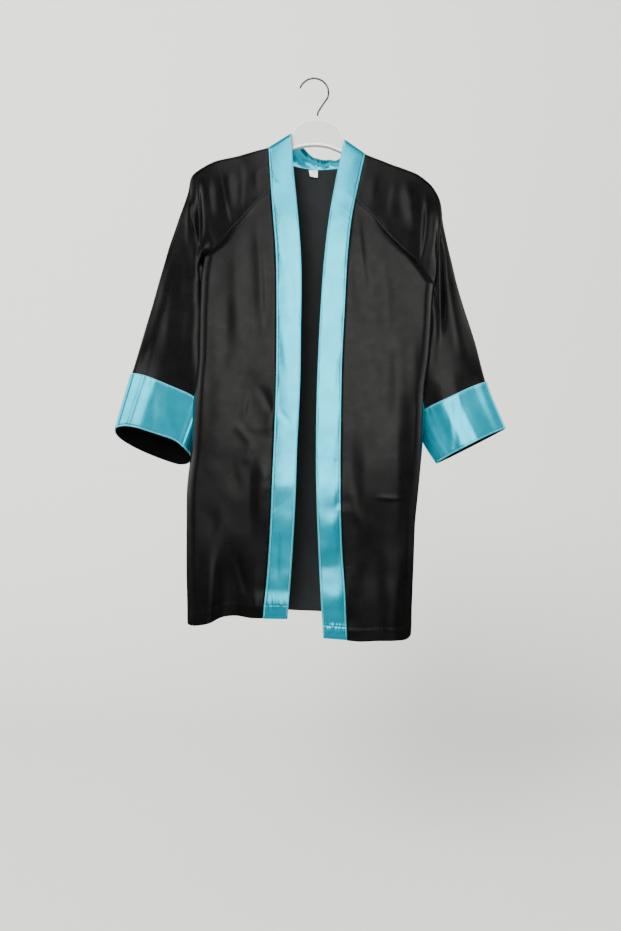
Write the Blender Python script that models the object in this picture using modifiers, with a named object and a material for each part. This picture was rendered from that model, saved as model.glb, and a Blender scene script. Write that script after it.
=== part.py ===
"""A child's open graduation gown with raglan sleeves, hung on a flat plastic hanger.

Metres, +Z up, fronts facing -Y. The origin is the inside of the hook's top, where a rod carries
it. "right" is the wearer's right, at -X. Every cloth piece is a wall whose outer face is a grid
of points: panels and bands run between two seam curves, and a sleeve's sections run from its
front seam over the ridge to its back seam. Neighbours share those curves.
"""

import math
from collections import namedtuple

import bpy
import numpy as np

SATIN = 0.0012
DOUBLED_SATIN = 0.0018
SEAM_GAP = 0.0003
SHOULDER_SEAT = 0.0013
LABEL_THICKNESS = 0.0010

# The sheets that hang from the hanger's shoulders, and how they round its edges.
BACK_Y = 0.0195
ARM_THICKNESS = 0.0100
RIDGE_HALF = 0.0085
RIDGE_REACH = 0.0090
SIDE_ROUND = 0.045
BACK_SIDE_REACH = 0.085
INNER_FOLD_REACH = 0.034
FRONT_FOLD_REACH = 0.045
BACK_FOLD_REACH = 0.095
BAND_CROWN = 0.0010
CUFF_STATION = 11
EDGE_DROP = 0.112

# How far from a panel's edges its folds fade out: a share of a front's or the back's width, and
# a distance on a sleeve. FOLD_ENDS is the share of a fold's length over which it rises.
FRONT_FADE = 0.12
BACK_FADE = 0.10
SLEEVE_FADE = 0.012
FOLD_ENDS = 0.4
HEM_FOLD_Z = -0.88
HEM_FOLD_RISE = 0.625

# Shares of a seam curve, where the raglan ends at 1 and the side fold at 2.
FRONT_TOP = 0.02
SIDE_STEP = 0.05
SLEEVE_STEP = 0.06
BACK_STEP = 0.125
HEM_WAVE_SPAN = 0.26
HEM_RISE_SPAN = 0.65
SAG_SPAN = 1.2
SAG_POWER = 0.7
SEAM_CLOSED = 0.999

# The part of each band's seam that lies on a sleeve's neck edge, and how its points bunch there.
BAND_NECK_SHARE = 0.12
NECK_SLEEVE_SHARE = 0.14
RIDGE_BUNCHING = 1.6
BAND_BUNCHING = 1.25
START_BUNCHING = 1.8
ENDS_BUNCHING = 2.4
ROLL_FORWARD = 0.0040
ROLL_UP = 0.0045

ROWS_A_STATION = 2
SIDE_ROWS = 18
FRONT_COLUMNS = 10
BACK_COLUMNS = 16
SLEEVE_WALL_COLUMNS = 10
BAND_ROWS = 36
BAND_COLUMNS = 3
NECK_ROWS = 26

WIRE_RADIUS = 0.0016
HOOK_RADIUS = 0.0240
HOOK_TIP_ANGLE = math.radians(161.0)
HOOK_STEM_ANGLE = math.radians(-20.0)
HOOK_STEM = ((0.0122, -0.0456), (0.0064, -0.0560), (0.0056, -0.0647))
HOOK_STEPS = 26
STEM_STEPS = 12
BOSS_TOP = -0.0650

Point = namedtuple("Point", "x y z")
Level = namedtuple("Level", "x z")
Station = namedtuple("Station", "seam ridge front back closed tilt")
Fold = namedtuple("Fold", "x_top z_top x_bottom z_bottom half_width depth")
HemWave = namedtuple("HemWave", "across drop out")
Side = namedtuple(
    "Side",
    "sign ridge_line raglan_front raglan_back side_fold inner_fold band_seam band_edge stations "
    "front_folds sleeve_folds hem",
)

RIGHT = Side(
    sign=-1,
    # From the band along the shoulder, round its corner and down the sleeve's outer fold.
    ridge_line=(
        Point(-0.0749, 0.0000, -0.1133),
        Point(-0.1221, 0.0000, -0.1265),
        Point(-0.1716, 0.0000, -0.1397),
        Point(-0.1892, 0.0000, -0.1497),
        Point(-0.1991, 0.0005, -0.1575),
        Point(-0.2094, 0.0020, -0.1899),
        Point(-0.2277, 0.0040, -0.2394),
        Point(-0.2385, 0.0040, -0.2719),
        Point(-0.2703, 0.0040, -0.3812),
        Point(-0.3019, 0.0040, -0.4904),
        Point(-0.3282, 0.0040, -0.5832),
    ),
    raglan_front=(
        Point(-0.0693, -0.0225, -0.1915),
        Point(-0.0925, -0.0250, -0.2119),
        Point(-0.1133, -0.0258, -0.2366),
        Point(-0.1344, -0.0250, -0.2571),
        Point(-0.1541, -0.0210, -0.2802),
        Point(-0.1801, -0.0080, -0.2995),
    ),
    raglan_back=(
        Point(-0.0618, 0.0140, -0.1262),
        Point(-0.1000, 0.0175, -0.1740),
        Point(-0.1330, 0.0165, -0.2200),
        Point(-0.1600, 0.0085, -0.2620),
        Point(-0.1801, -0.0060, -0.2995),
    ),
    side_fold=(
        Point(-0.1801, -0.0070, -0.2995),
        Point(-0.1832, -0.0098, -0.3255),
        Point(-0.1865, -0.0100, -0.3781),
        Point(-0.1896, -0.0100, -0.4663),
        Point(-0.1971, -0.0100, -0.5365),
        Point(-0.2010, -0.0100, -0.6198),
        Point(-0.2070, -0.0100, -0.6750),
        Point(-0.2079, -0.0100, -0.7358),
        Point(-0.2067, -0.0100, -0.8730),
        Point(-0.2062, -0.0100, -0.8924),
    ),
    # The sleeve's inner fold, tucked behind the body's side.
    inner_fold=(
        Point(-0.1801, -0.0060, -0.2995),
        Point(-0.1835, 0.0015, -0.3180),
        Point(-0.1800, 0.0060, -0.3500),
        Point(-0.1760, 0.0070, -0.4000),
        Point(-0.1760, 0.0090, -0.4700),
        Point(-0.1830, 0.0130, -0.5480),
        Point(-0.2060, 0.0120, -0.6225),
    ),
    band_seam=(
        Point(-0.0693, -0.0225, -0.1915),
        Point(-0.0670, -0.0250, -0.2200),
        Point(-0.0612, -0.0300, -0.2983),
        Point(-0.0598, -0.0320, -0.3933),
        Point(-0.0610, -0.0330, -0.5133),
        Point(-0.0654, -0.0340, -0.6330),
        Point(-0.0688, -0.0340, -0.7175),
        Point(-0.0755, -0.0340, -0.8180),
        Point(-0.0816, -0.0340, -0.8808),
    ),
    band_edge=(
        Point(-0.0376, 0.0000, -0.0902),
        Point(-0.0336, -0.0210, -0.1526),
        Point(-0.0281, -0.0270, -0.2102),
        Point(-0.0211, -0.0320, -0.2990),
        Point(-0.0211, -0.0345, -0.4273),
        Point(-0.0225, -0.0355, -0.5135),
        Point(-0.0268, -0.0360, -0.5996),
        Point(-0.0302, -0.0360, -0.6999),
        Point(-0.0362, -0.0360, -0.8001),
        Point(-0.0424, -0.0360, -0.8812),
    ),
    # seam and ridge are fractions of the seam curves (1 is the underarm, 2 the sleeve's end) and
    # of the ridge line; front and back are how far the two walls swell.
    stations=(
        Station(0.00, 0.000, 0.0085, 0.0085, 0.0, 0.0),
        Station(0.19, 0.062, 0.0085, 0.0085, 0.0, 0.0),
        Station(0.40, 0.120, 0.0085, 0.0085, 0.0, 0.0),
        Station(0.60, 0.170, 0.0085, 0.0085, 0.0, 0.0),
        Station(0.78, 0.208, 0.0080, 0.0085, 0.0, 0.0),
        Station(0.91, 0.250, 0.0080, 0.0090, 0.2, 0.0),
        Station(1.00, 0.298, 0.0095, 0.0105, 0.7, 0.0),
        Station(1.06, 0.345, 0.0110, 0.0120, 1.0, 0.0),
        Station(1.17, 0.415, 0.0130, 0.0140, 1.0, 0.1),
        Station(1.32, 0.520, 0.0150, 0.0155, 1.0, 0.2),
        Station(1.50, 0.660, 0.0160, 0.0165, 1.0, 0.4),
        Station(1.742, 0.833, 0.0175, 0.0180, 1.0, 0.70),
        Station(1.87, 0.915, 0.0185, 0.0185, 1.0, 0.90),
        Station(2.00, 1.000, 0.0190, 0.0190, 1.0, 1.08),
    ),
    front_folds=(
        Fold(-0.160, -0.72, -0.155, -0.900, 0.016, 0.0070),
        Fold(-0.120, -0.74, -0.131, -0.900, 0.018, -0.0050),
        Fold(-0.100, -0.47, -0.094, -0.610, 0.022, -0.0050),
        Fold(-0.150, -0.32, -0.160, -0.700, 0.026, 0.0040),
    ),
    sleeve_folds=(
        Fold(-0.1955, -0.168, -0.1800, -0.330, 0.0090, -0.0075),
        Fold(-0.1740, -0.160, -0.1680, -0.250, 0.0100, 0.0040),
        Fold(-0.1420, -0.150, -0.1320, -0.235, 0.0110, 0.0030),
        Fold(-0.2300, -0.260, -0.2750, -0.480, 0.0140, 0.0040),
    ),
    hem=(
        HemWave(0.00, 0.0000, 0.000),
        HemWave(0.15, 0.0010, 0.003),
        HemWave(0.34, -0.0020, 0.003),
        HemWave(0.43, -0.0062, -0.003),
        HemWave(0.62, -0.0080, -0.002),
        HemWave(0.85, -0.0025, 0.001),
        HemWave(1.00, 0.0000, 0.000),
    ),
)

LEFT = Side(
    sign=1,
    ridge_line=(
        Point(0.0844, 0.0000, -0.1240),
        Point(0.1265, 0.0000, -0.1408),
        Point(0.1748, 0.0000, -0.1600),
        Point(0.1925, 0.0000, -0.1748),
        Point(0.2062, 0.0005, -0.1962),
        Point(0.2129, 0.0020, -0.2346),
        Point(0.2259, 0.0040, -0.2917),
        Point(0.2418, 0.0040, -0.3547),
        Point(0.2681, 0.0040, -0.4375),
        Point(0.2848, 0.0040, -0.5004),
        Point(0.3160, 0.0040, -0.5764),
    ),
    raglan_front=(
        Point(0.0690, -0.0225, -0.2080),
        Point(0.0920, -0.0250, -0.2310),
        Point(0.1128, -0.0258, -0.2577),
        Point(0.1410, -0.0250, -0.2852),
        Point(0.1660, -0.0215, -0.3066),
        Point(0.1810, -0.0165, -0.3243),
        Point(0.1963, -0.0080, -0.3450),
    ),
    raglan_back=(
        Point(0.0736, 0.0140, -0.1312),
        Point(0.1100, 0.0175, -0.1850),
        Point(0.1450, 0.0165, -0.2480),
        Point(0.1750, 0.0085, -0.3020),
        Point(0.1963, -0.0060, -0.3450),
    ),
    side_fold=(
        Point(0.1963, -0.0070, -0.3450),
        Point(0.1937, -0.0095, -0.3664),
        Point(0.1920, -0.0100, -0.4010),
        Point(0.1876, -0.0100, -0.4663),
        Point(0.1819, -0.0100, -0.5071),
        Point(0.1771, -0.0100, -0.5986),
        Point(0.1687, -0.0100, -0.6901),
        Point(0.1655, -0.0100, -0.7211),
        Point(0.1624, -0.0100, -0.7946),
        Point(0.1587, -0.0100, -0.8877),
        Point(0.1579, -0.0100, -0.9088),
    ),
    inner_fold=(
        Point(0.1963, -0.0060, -0.3450),
        Point(0.1965, 0.0015, -0.3640),
        Point(0.1900, 0.0060, -0.3950),
        Point(0.1800, 0.0070, -0.4400),
        Point(0.1690, 0.0100, -0.5000),
        Point(0.1665, 0.0130, -0.5580),
        Point(0.1830, 0.0110, -0.5980),
        Point(0.2040, 0.0060, -0.6330),
    ),
    band_seam=(
        Point(0.0690, -0.0225, -0.2080),
        Point(0.0660, -0.0245, -0.2300),
        Point(0.0570, -0.0300, -0.2983),
        Point(0.0517, -0.0320, -0.3837),
        Point(0.0461, -0.0330, -0.4702),
        Point(0.0428, -0.0340, -0.5565),
        Point(0.0419, -0.0340, -0.6330),
        Point(0.0419, -0.0340, -0.7000),
        Point(0.0443, -0.0340, -0.7670),
        Point(0.0487, -0.0340, -0.8340),
        Point(0.0524, -0.0340, -0.9150),
    ),
    band_edge=(
        Point(0.0504, 0.0000, -0.0998),
        Point(0.0445, -0.0190, -0.1500),
        Point(0.0358, -0.0245, -0.1932),
        Point(0.0292, -0.0270, -0.2202),
        Point(0.0174, -0.0320, -0.2990),
        Point(0.0105, -0.0340, -0.3842),
        Point(0.0061, -0.0350, -0.4705),
        Point(0.0033, -0.0360, -0.5773),
        Point(0.0033, -0.0360, -0.6601),
        Point(0.0068, -0.0360, -0.7667),
        Point(0.0108, -0.0360, -0.8511),
        Point(0.0144, -0.0360, -0.9116),
    ),
    stations=(
        Station(0.00, 0.000, 0.0085, 0.0085, 0.0, 0.0),
        Station(0.19, 0.058, 0.0085, 0.0085, 0.0, 0.0),
        Station(0.40, 0.116, 0.0085, 0.0085, 0.0, 0.0),
        Station(0.60, 0.170, 0.0085, 0.0085, 0.0, 0.0),
        Station(0.78, 0.222, 0.0080, 0.0085, 0.0, 0.0),
        Station(0.91, 0.283, 0.0080, 0.0090, 0.2, 0.0),
        Station(1.00, 0.345, 0.0095, 0.0105, 0.7, 0.0),
        Station(1.06, 0.395, 0.0110, 0.0120, 1.0, 0.0),
        Station(1.18, 0.472, 0.0125, 0.0135, 1.0, 0.1),
        Station(1.34, 0.578, 0.0140, 0.0145, 1.0, 0.2),
        Station(1.52, 0.705, 0.0145, 0.0150, 1.0, 0.3),
        Station(1.715, 0.8485, 0.0155, 0.0155, 1.0, 0.35),
        Station(1.86, 0.922, 0.0150, 0.0150, 1.0, 0.30),
        Station(2.00, 1.000, 0.0135, 0.0135, 1.0, 0.20),
    ),
    front_folds=(
        Fold(0.130, -0.72, 0.128, -0.920, 0.018, 0.0060),
        Fold(0.090, -0.60, 0.096, -0.920, 0.020, -0.0045),
        Fold(0.150, -0.40, 0.125, -0.700, 0.024, 0.0045),
        Fold(0.078, -0.27, 0.082, -0.470, 0.018, -0.0035),
    ),
    sleeve_folds=(
        Fold(0.2060, -0.210, 0.2000, -0.420, 0.0090, -0.0075),
        Fold(0.1890, -0.190, 0.1850, -0.300, 0.0100, 0.0040),
        Fold(0.1500, -0.165, 0.1620, -0.260, 0.0110, 0.0030),
        Fold(0.2250, -0.320, 0.2450, -0.500, 0.0130, 0.0040),
    ),
    hem=(
        HemWave(0.00, 0.0000, 0.000),
        HemWave(0.10, -0.0030, -0.002),
        HemWave(0.25, 0.0000, 0.002),
        HemWave(0.55, -0.0005, 0.003),
        HemWave(0.80, 0.0005, 0.001),
        HemWave(1.00, 0.0000, 0.000),
    ),
)

# From the right ridge behind the neck to the left ridge: the band's free edge.
NECK_EDGE = (
    Point(-0.0376, 0.0000, -0.0902),
    Point(-0.0372, 0.0060, -0.0908),
    Point(-0.0350, 0.0110, -0.0918),
    Point(-0.0268, 0.0200, -0.0936),
    Point(-0.0151, 0.0290, -0.1003),
    Point(-0.0024, 0.0345, -0.1105),
    Point(0.0181, 0.0365, -0.1154),
    Point(0.0380, 0.0320, -0.1180),
    Point(0.0500, 0.0200, -0.1120),
    Point(0.0515, 0.0085, -0.1030),
    Point(0.0504, 0.0000, -0.0998),
)
NECKLINE_SAG = 0.0125
BACK_HEM_RISE = 0.0215
BACK_FOLDS = (
    Fold(-0.110, -0.45, -0.125, -0.900, 0.024, 0.0060),
    Fold(-0.030, -0.55, -0.025, -0.900, 0.026, -0.0045),
    Fold(0.070, -0.50, 0.085, -0.910, 0.024, 0.0055),
    Fold(-0.060, -0.20, -0.075, -0.480, 0.022, 0.0035),
    Fold(0.080, -0.22, 0.100, -0.500, 0.022, 0.0035),
)

LABEL_CENTRE = Level(-0.0011, -0.1480)
LABEL_SIZE = (0.0144, 0.0110)
RAGLAN_DROP = 0.25

# The hanger's middle, and the height of its shoulders below their top edge.
HUMP = (
    Level(-0.0740, -0.1164),
    Level(-0.0376, -0.0938),
    Level(-0.0330, -0.0862),
    Level(-0.0214, -0.0745),
    Level(-0.0080, -0.0695),
    Level(0.0010, -0.0684),
    Level(0.0018, BOSS_TOP),
    Level(0.0094, BOSS_TOP),
    Level(0.0102, -0.0686),
    Level(0.0220, -0.0716),
    Level(0.0408, -0.0839),
    Level(0.0466, -0.0950),
    Level(0.0490, -0.1030),
    Level(0.0830, -0.1266),
)
UNDERSIDE = (
    Level(-0.1850, -0.1635),
    Level(-0.1500, -0.1545),
    Level(-0.1000, -0.1400),
    Level(-0.0600, -0.1265),
    Level(-0.0362, -0.1177),
    Level(-0.0150, -0.1120),
    Level(0.0032, -0.1107),
    Level(0.0230, -0.1133),
    Level(0.0459, -0.1226),
    Level(0.0800, -0.1415),
    Level(0.1200, -0.1580),
    Level(0.1690, -0.1755),
)
RIGHT_TIP_X = -0.1892
LEFT_TIP_X = 0.1748
BAND_STEP = 0.0030
ARM_STEPS = 10
HANGER_EDGE_ROUND = 0.0042


def clamped(value):
    return min(max(value, 0.0), 1.0)


def quarter(value):
    """Height of a quarter circle: 0 at 0, then 1 from 1 onwards."""
    return math.sqrt(1.0 - (1.0 - clamped(value)) ** 2)


def ease(value):
    value = clamped(value)
    return value * value * (3.0 - 2.0 * value)


def smooth(keys, values, key):
    """The values at a key on a cubic curve through every row."""
    keys = np.asarray(keys, float)
    values = np.asarray(values, float)
    key = min(max(key, keys[0]), keys[-1])
    index = min(int(np.searchsorted(keys, key, side="right")) - 1, len(keys) - 2)
    secants = np.diff(values, axis=0) / np.diff(keys).reshape([-1] + [1] * (values.ndim - 1))

    def slope(row):
        if row == 0:
            return secants[0]
        if row == len(keys) - 1:
            return secants[-1]
        before, after = keys[row] - keys[row - 1], keys[row + 1] - keys[row]
        return (secants[row - 1] * after + secants[row] * before) / (before + after)

    width = keys[index + 1] - keys[index]
    t = (key - keys[index]) / width
    start = values[index] * (1 + 2 * t) * (1 - t) ** 2 + slope(index) * width * t * (1 - t) ** 2
    end = values[index + 1] * t * t * (3 - 2 * t) + slope(index + 1) * width * t * t * (t - 1)
    return start + end


class Route:
    """A smooth curve through a table of points, read by its fraction of length."""

    def __init__(self, rows):
        self.rows = np.array(rows, float)
        steps = np.linalg.norm(np.diff(self.rows, axis=0), axis=1)
        self.fractions = np.concatenate(([0.0], np.cumsum(steps))) / steps.sum()

    def at(self, fraction):
        return smooth(self.fractions, self.rows, fraction)

    def where(self, column, value):
        """The point whose coordinate in this column is the value; the column runs one way."""
        keys = self.rows[:, column]
        order = 1 if keys[-1] > keys[0] else -1
        return smooth(keys[::order], self.rows[::order], value)


def shoulder_y(drop, length, far_y):
    """y of a layer that rounds the hanger's shoulder, then runs straight to far_y."""
    share = clamped(drop / length)
    rounding = RIDGE_HALF * quarter(drop / RIDGE_REACH) * (1.0 - share)
    return math.copysign(rounding, far_y) + far_y * share


def fold_out(folds, x, z):
    """How far these folds push a wall out at a place, each as a soft ridge or trough."""
    out = 0.0
    for fold in folds:
        share = (z - fold.z_top) / (fold.z_bottom - fold.z_top)
        if 0.0 < share < 1.0:
            middle = fold.x_top + (fold.x_bottom - fold.x_top) * share
            strength = ease(share / FOLD_ENDS) * ease((1.0 - share) / FOLD_ENDS)
            if fold.z_bottom < HEM_FOLD_Z:
                strength = ease(share / HEM_FOLD_RISE)
            out += fold.depth * strength * math.exp(-(((x - middle) / fold.half_width) ** 2))
    return out


def finer_at_start(count):
    return [(step / count) ** START_BUNCHING for step in range(count + 1)]


def finer_at_ends(count):
    half = [0.5 * (2.0 * step / count) ** ENDS_BUNCHING for step in range(count // 2 + 1)]
    return half[:-1] + [1.0 - value for value in reversed(half)]


def front_point(side, across, down):
    """A point of a front's outer face, across from its outer edge to the band.

    down is 0 to 1 along the raglan seam and 1 to 2 along the side fold.
    """
    seam = Route(side.band_seam)
    if down < 1.0:
        outer = Route(side.raglan_front).at(max(down, FRONT_TOP))
    else:
        outer = Route(side.side_fold).at(down - 1.0)
        outer[1] -= (SATIN + SEAM_GAP) * ease((down - 1.0) / SIDE_STEP)
    top = side.raglan_front[0].z
    inner_hem = side.band_seam[-1].z
    outer_hem = side.side_fold[-1].z
    lowered = (outer[2] - top) / (outer_hem - top)
    inner = seam.where(2, top + (inner_hem - top) * lowered)
    gap = 0.5 * SEAM_GAP / np.linalg.norm(inner - outer)
    share = 2.0 * gap + (1.0 - 3.0 * gap) * across
    point = outer + (inner - outer) * share
    distance = share * abs(inner[0] - outer[0])
    point[1] = outer[1] + (inner[1] - outer[1]) * quarter(distance / SIDE_ROUND)
    edge = ease(across / FRONT_FADE) * ease((1.0 - across) / FRONT_FADE)
    point[1] -= fold_out(side.front_folds, point[0], point[2]) * edge
    near_hem = ease(1.0 - (2.0 - down) / HEM_WAVE_SPAN)
    wave = smooth([row.across for row in side.hem], [row[1:] for row in side.hem], across)
    point[2] -= wave[0] * near_hem
    point[1] -= wave[1] * near_hem
    return point


def back_point(across, down):
    """A point of the back's outer face: across from the right to the left, down as a front's."""
    ends = []
    for side in (RIGHT, LEFT):
        if down <= 1.0:
            end = Route(side.raglan_back).at(down)
        else:
            end = Route(side.side_fold).at(down - 1.0)
            rise = side.raglan_back[-1].y - side.side_fold[0].y
            end[1] += rise * (1.0 - ease((down - 1.0) / BACK_STEP))
        ends.append(end)
    width = np.linalg.norm(ends[1] - ends[0])
    gap = SEAM_GAP / width
    share = gap + (1.0 - 2.0 * gap) * across
    point = ends[0] + (ends[1] - ends[0]) * share
    edge_y = ends[0][1] if across < 0.5 else ends[1][1]
    distance = width * min(share, 1.0 - share)
    point[1] = edge_y + (BACK_Y - edge_y) * ease(distance / BACK_SIDE_REACH)
    arch = 4.0 * across * (1.0 - across)
    point[2] -= NECKLINE_SAG * arch ** SAG_POWER * (1.0 - ease(down / SAG_SPAN))
    point[2] += BACK_HEM_RISE * arch * ease(1.0 - (2.0 - down) / HEM_RISE_SPAN)
    edge = ease(across / BACK_FADE) * ease((1.0 - across) / BACK_FADE)
    point[1] += fold_out(BACK_FOLDS, point[0], point[2]) * edge
    return point


def back_at(x, z):
    """The back's outer face at this place near the neck, found by stepping towards it."""
    across, down = 0.5, 0.1
    steps = 20
    width = LEFT.raglan_back[0].x - RIGHT.raglan_back[0].x
    for _ in range(steps):
        point = back_point(across, down)
        across += (x - point[0]) / width
        down += (point[2] - z) / RAGLAN_DROP
    return point


def station_at(side, along):
    """The sleeve's section values at a fraction of its length from the neck."""
    rows = np.array(side.stations, float)
    return Station(*smooth(np.linspace(0.0, 1.0, len(rows)), rows, along))


def seam_at(side, position, front):
    """The seam that a sleeve's wall ends on: raglan to 1, then the fold under the arm."""
    raglan = side.raglan_front if front else side.raglan_back
    if position <= 1.0:
        return Route(raglan).at(position)
    end = Route(side.inner_fold).at(position - 1.0)
    blend = 1.0 - ease((position - 1.0) / SLEEVE_STEP)
    end[1] += (raglan[-1].y - side.inner_fold[0].y) * blend
    return end


def sleeve_point(side, along, across):
    """A point of a sleeve's outer face: across is -1 at the front seam, 0 on the ridge, 1 behind."""
    station = station_at(side, along)
    front = across < 0
    facing = -1.0 if front else 1.0
    ridge = Route(side.ridge_line).at(station.ridge)
    seam = seam_at(side, station.seam, front)
    length = np.linalg.norm(seam - ridge)
    share = abs(across) * (1.0 - SEAM_GAP / length)
    drop = share * length
    swell = station.front if front else station.back
    closing = quarter((length - drop) / INNER_FOLD_REACH)
    fold_reach = FRONT_FOLD_REACH if front else BACK_FOLD_REACH
    swell *= quarter(drop / (RIDGE_REACH + (fold_reach - RIDGE_REACH) * clamped(station.closed)))
    swell *= station.closed * closing + (1.0 - station.closed) * (1.0 - share)
    point = ridge + (seam - ridge) * share
    point[1] += facing * swell
    point[2] -= facing * station.tilt * swell
    edge = ease(drop / SLEEVE_FADE) * ease((length - drop) / SLEEVE_FADE)
    folds = side.sleeve_folds if front else side.sleeve_folds[1:]
    point[1] += facing * fold_out(folds, point[0], point[2]) * edge
    return point


def band_seam_at(side, down):
    """The front band's seam: down the sleeve's neck edge, then down the front panel."""
    if down < BAND_NECK_SHARE:
        return sleeve_point(side, 0.0, -((down / BAND_NECK_SHARE) ** RIDGE_BUNCHING))
    return Route(side.band_seam).at((down - BAND_NECK_SHARE) / (1.0 - BAND_NECK_SHARE))


def band_edge_at(side, down):
    """The front band's free edge, which rounds the hanger's shoulder at its top."""
    top = side.band_edge[0]
    seam = band_seam_at(side, down)
    seam_top, seam_end = band_seam_at(side, 0.0)[2], band_seam_at(side, 1.0)[2]
    lowered = (seam[2] - seam_top) / (seam_end - seam_top)
    edge = Route(side.band_edge).where(2, top.z + (side.band_edge[-1].z - top.z) * lowered)
    drop = top.z - edge[2]
    if drop < EDGE_DROP:
        far_y = Route(side.band_edge).where(2, top.z - EDGE_DROP)[1]
        edge[1] = shoulder_y(drop, EDGE_DROP, far_y)
    return edge


def between(start, end, share, gap):
    """A point of a band between its seam and its free edge, with a gap at the seam."""
    width = np.linalg.norm(end - start)
    return start + (end - start) * (gap / width + (1.0 - gap / width) * share)


def band_point(side, across, down):
    point = between(band_seam_at(side, down), band_edge_at(side, down), across, 0.5 * SEAM_GAP)
    point[1] -= BAND_CROWN * 4.0 * across * (1.0 - across) * ease(down / BAND_NECK_SHARE)
    if down == 0.0:
        point[1] -= 0.5 * SEAM_GAP
    return point


def neck_seam_at(around):
    """The neck band's seam from the right ridge behind the neck to the left ridge."""
    for side, from_ridge in ((RIGHT, around), (LEFT, 1.0 - around)):
        if from_ridge < NECK_SLEEVE_SHARE:
            return sleeve_point(side, 0.0, (from_ridge / NECK_SLEEVE_SHARE) ** RIDGE_BUNCHING)
    return back_point((around - NECK_SLEEVE_SHARE) / (1.0 - 2.0 * NECK_SLEEVE_SHARE), 0.0)


def neck_point(across, around):
    """A point of the neck band, which stands up from its seam and rolls back over its width."""
    seam = neck_seam_at(around)
    edge = Route(NECK_EDGE).at(around)
    point = between(seam, edge, across, 2.0 * SEAM_GAP)
    middle = math.sin(math.pi * around)
    arch = 4.0 * across * (1.0 - across)
    point[1] -= ROLL_FORWARD * middle * arch
    point[2] += ROLL_UP * middle * arch
    if around == 0.0 or around == 1.0:
        point[1] += 0.5 * SEAM_GAP
    return point


def unit(vectors):
    return vectors / np.linalg.norm(vectors, axis=2, keepdims=True)


def moved_out(grid, distance, flipped):
    """The grid moved out so that its faces, not only its points, lie that far off."""
    down = np.gradient(grid, axis=0)
    steps = np.diff(grid, axis=1)
    before = unit(np.cross(down, np.concatenate((steps[:, :1], steps), axis=1)))
    after = unit(np.cross(down, np.concatenate((steps, steps[:, -1:]), axis=1)))
    normals = unit(before + after)
    spread = np.sum(normals * before, axis=2, keepdims=True)
    return grid + normals * (-distance if flipped else distance) / np.maximum(spread, 0.5)


def add_piece(name, points, faces, material):
    mesh = bpy.data.meshes.new(name)
    mesh.from_pydata([tuple(point) for point in points], [], faces)
    mesh.materials.append(material)
    mesh.shade_smooth()
    piece = bpy.data.objects.new(name, mesh)
    PARTS.objects.link(piece)
    return piece


def add_wall(name, grid, thickness, material, flipped=False):
    """A cloth wall whose outer face is the grid, thickened inwards."""
    rows, columns = grid.shape[:2]
    faces = []
    for row in range(rows - 1):
        for column in range(columns - 1):
            corner = row * columns + column
            face = (corner, corner + columns, corner + columns + 1, corner + 1)
            faces.append(face[::-1] if flipped else face)
    piece = add_piece(name, grid.reshape(-1, 3), faces, material)
    solidify = piece.modifiers.new("wall", "SOLIDIFY")
    solidify.thickness = thickness
    solidify.offset = -1.0
    solidify.use_even_offset = True
    solidify.use_quality_normals = True
    return piece


def station_rows(side):
    """Fractions of a sleeve's length, with rows on every station."""
    count = ROWS_A_STATION * (len(side.stations) - 1)
    return [row / count for row in range(count + 1)]


def panel_rows(side):
    """A panel's rows: on the raglan seam they meet the sleeve's rows."""
    seams = [station_at(side, along).seam for along in station_rows(side)]
    raglan = [seam for seam in seams if seam < SEAM_CLOSED]
    return raglan + [1.0 + row / SIDE_ROWS for row in range(SIDE_ROWS + 1)]


def add_front(name, side, material):
    shares = finer_at_start(FRONT_COLUMNS)
    downs = panel_rows(side)
    grid = np.array([[front_point(side, share, down) for share in shares] for down in downs])
    return add_wall(name, grid, SATIN, material, flipped=side.sign > 0)


def add_back(material):
    shares = [column / BACK_COLUMNS for column in range(BACK_COLUMNS + 1)]
    downs = panel_rows(RIGHT)
    grid = np.array([[back_point(share, down) for share in shares] for down in downs])
    return add_wall("back", grid, SATIN, material, flipped=True)


def sleeve_shares():
    """Places across a sleeve from its front seam over the ridge to its back seam."""
    wall = finer_at_ends(SLEEVE_WALL_COLUMNS)
    return [-share for share in reversed(wall)] + wall[1:]


def sleeve_grid(side):
    shares, alongs = sleeve_shares(), station_rows(side)
    return np.array([[sleeve_point(side, along, share) for share in shares] for along in alongs])


def add_sleeve(name, side, material):
    grid = sleeve_grid(side)
    grid[0, :, 0] += side.sign * SEAM_GAP
    return add_wall(name, grid, SATIN, material, flipped=side.sign < 0)


def add_cuff(name, side, material):
    """The cuff lies on the sleeve's end, from the cuff's station, and stops level with it."""
    flipped = side.sign < 0
    grid = moved_out(sleeve_grid(side), SEAM_GAP + DOUBLED_SATIN, flipped)
    grid = grid[ROWS_A_STATION * CUFF_STATION:]
    return add_wall(name, grid, DOUBLED_SATIN, material, flipped=flipped)


def add_band(name, side, material):
    downs = [(row / BAND_ROWS) ** BAND_BUNCHING for row in range(BAND_ROWS + 1)]
    shares = [column / BAND_COLUMNS for column in range(BAND_COLUMNS + 1)]
    grid = np.array([[band_point(side, share, down) for share in shares] for down in downs])
    return add_wall(name, grid, DOUBLED_SATIN, material, flipped=side.sign > 0)


def add_neck_band(material):
    arounds = [0.5 - 0.5 * math.cos(math.pi * row / NECK_ROWS) for row in range(NECK_ROWS + 1)]
    shares = [column / BAND_COLUMNS for column in range(BAND_COLUMNS + 1)]
    grid = np.array([[neck_point(share, around) for share in shares] for around in arounds])
    return add_wall("band_neck", grid, DOUBLED_SATIN, material)


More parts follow.
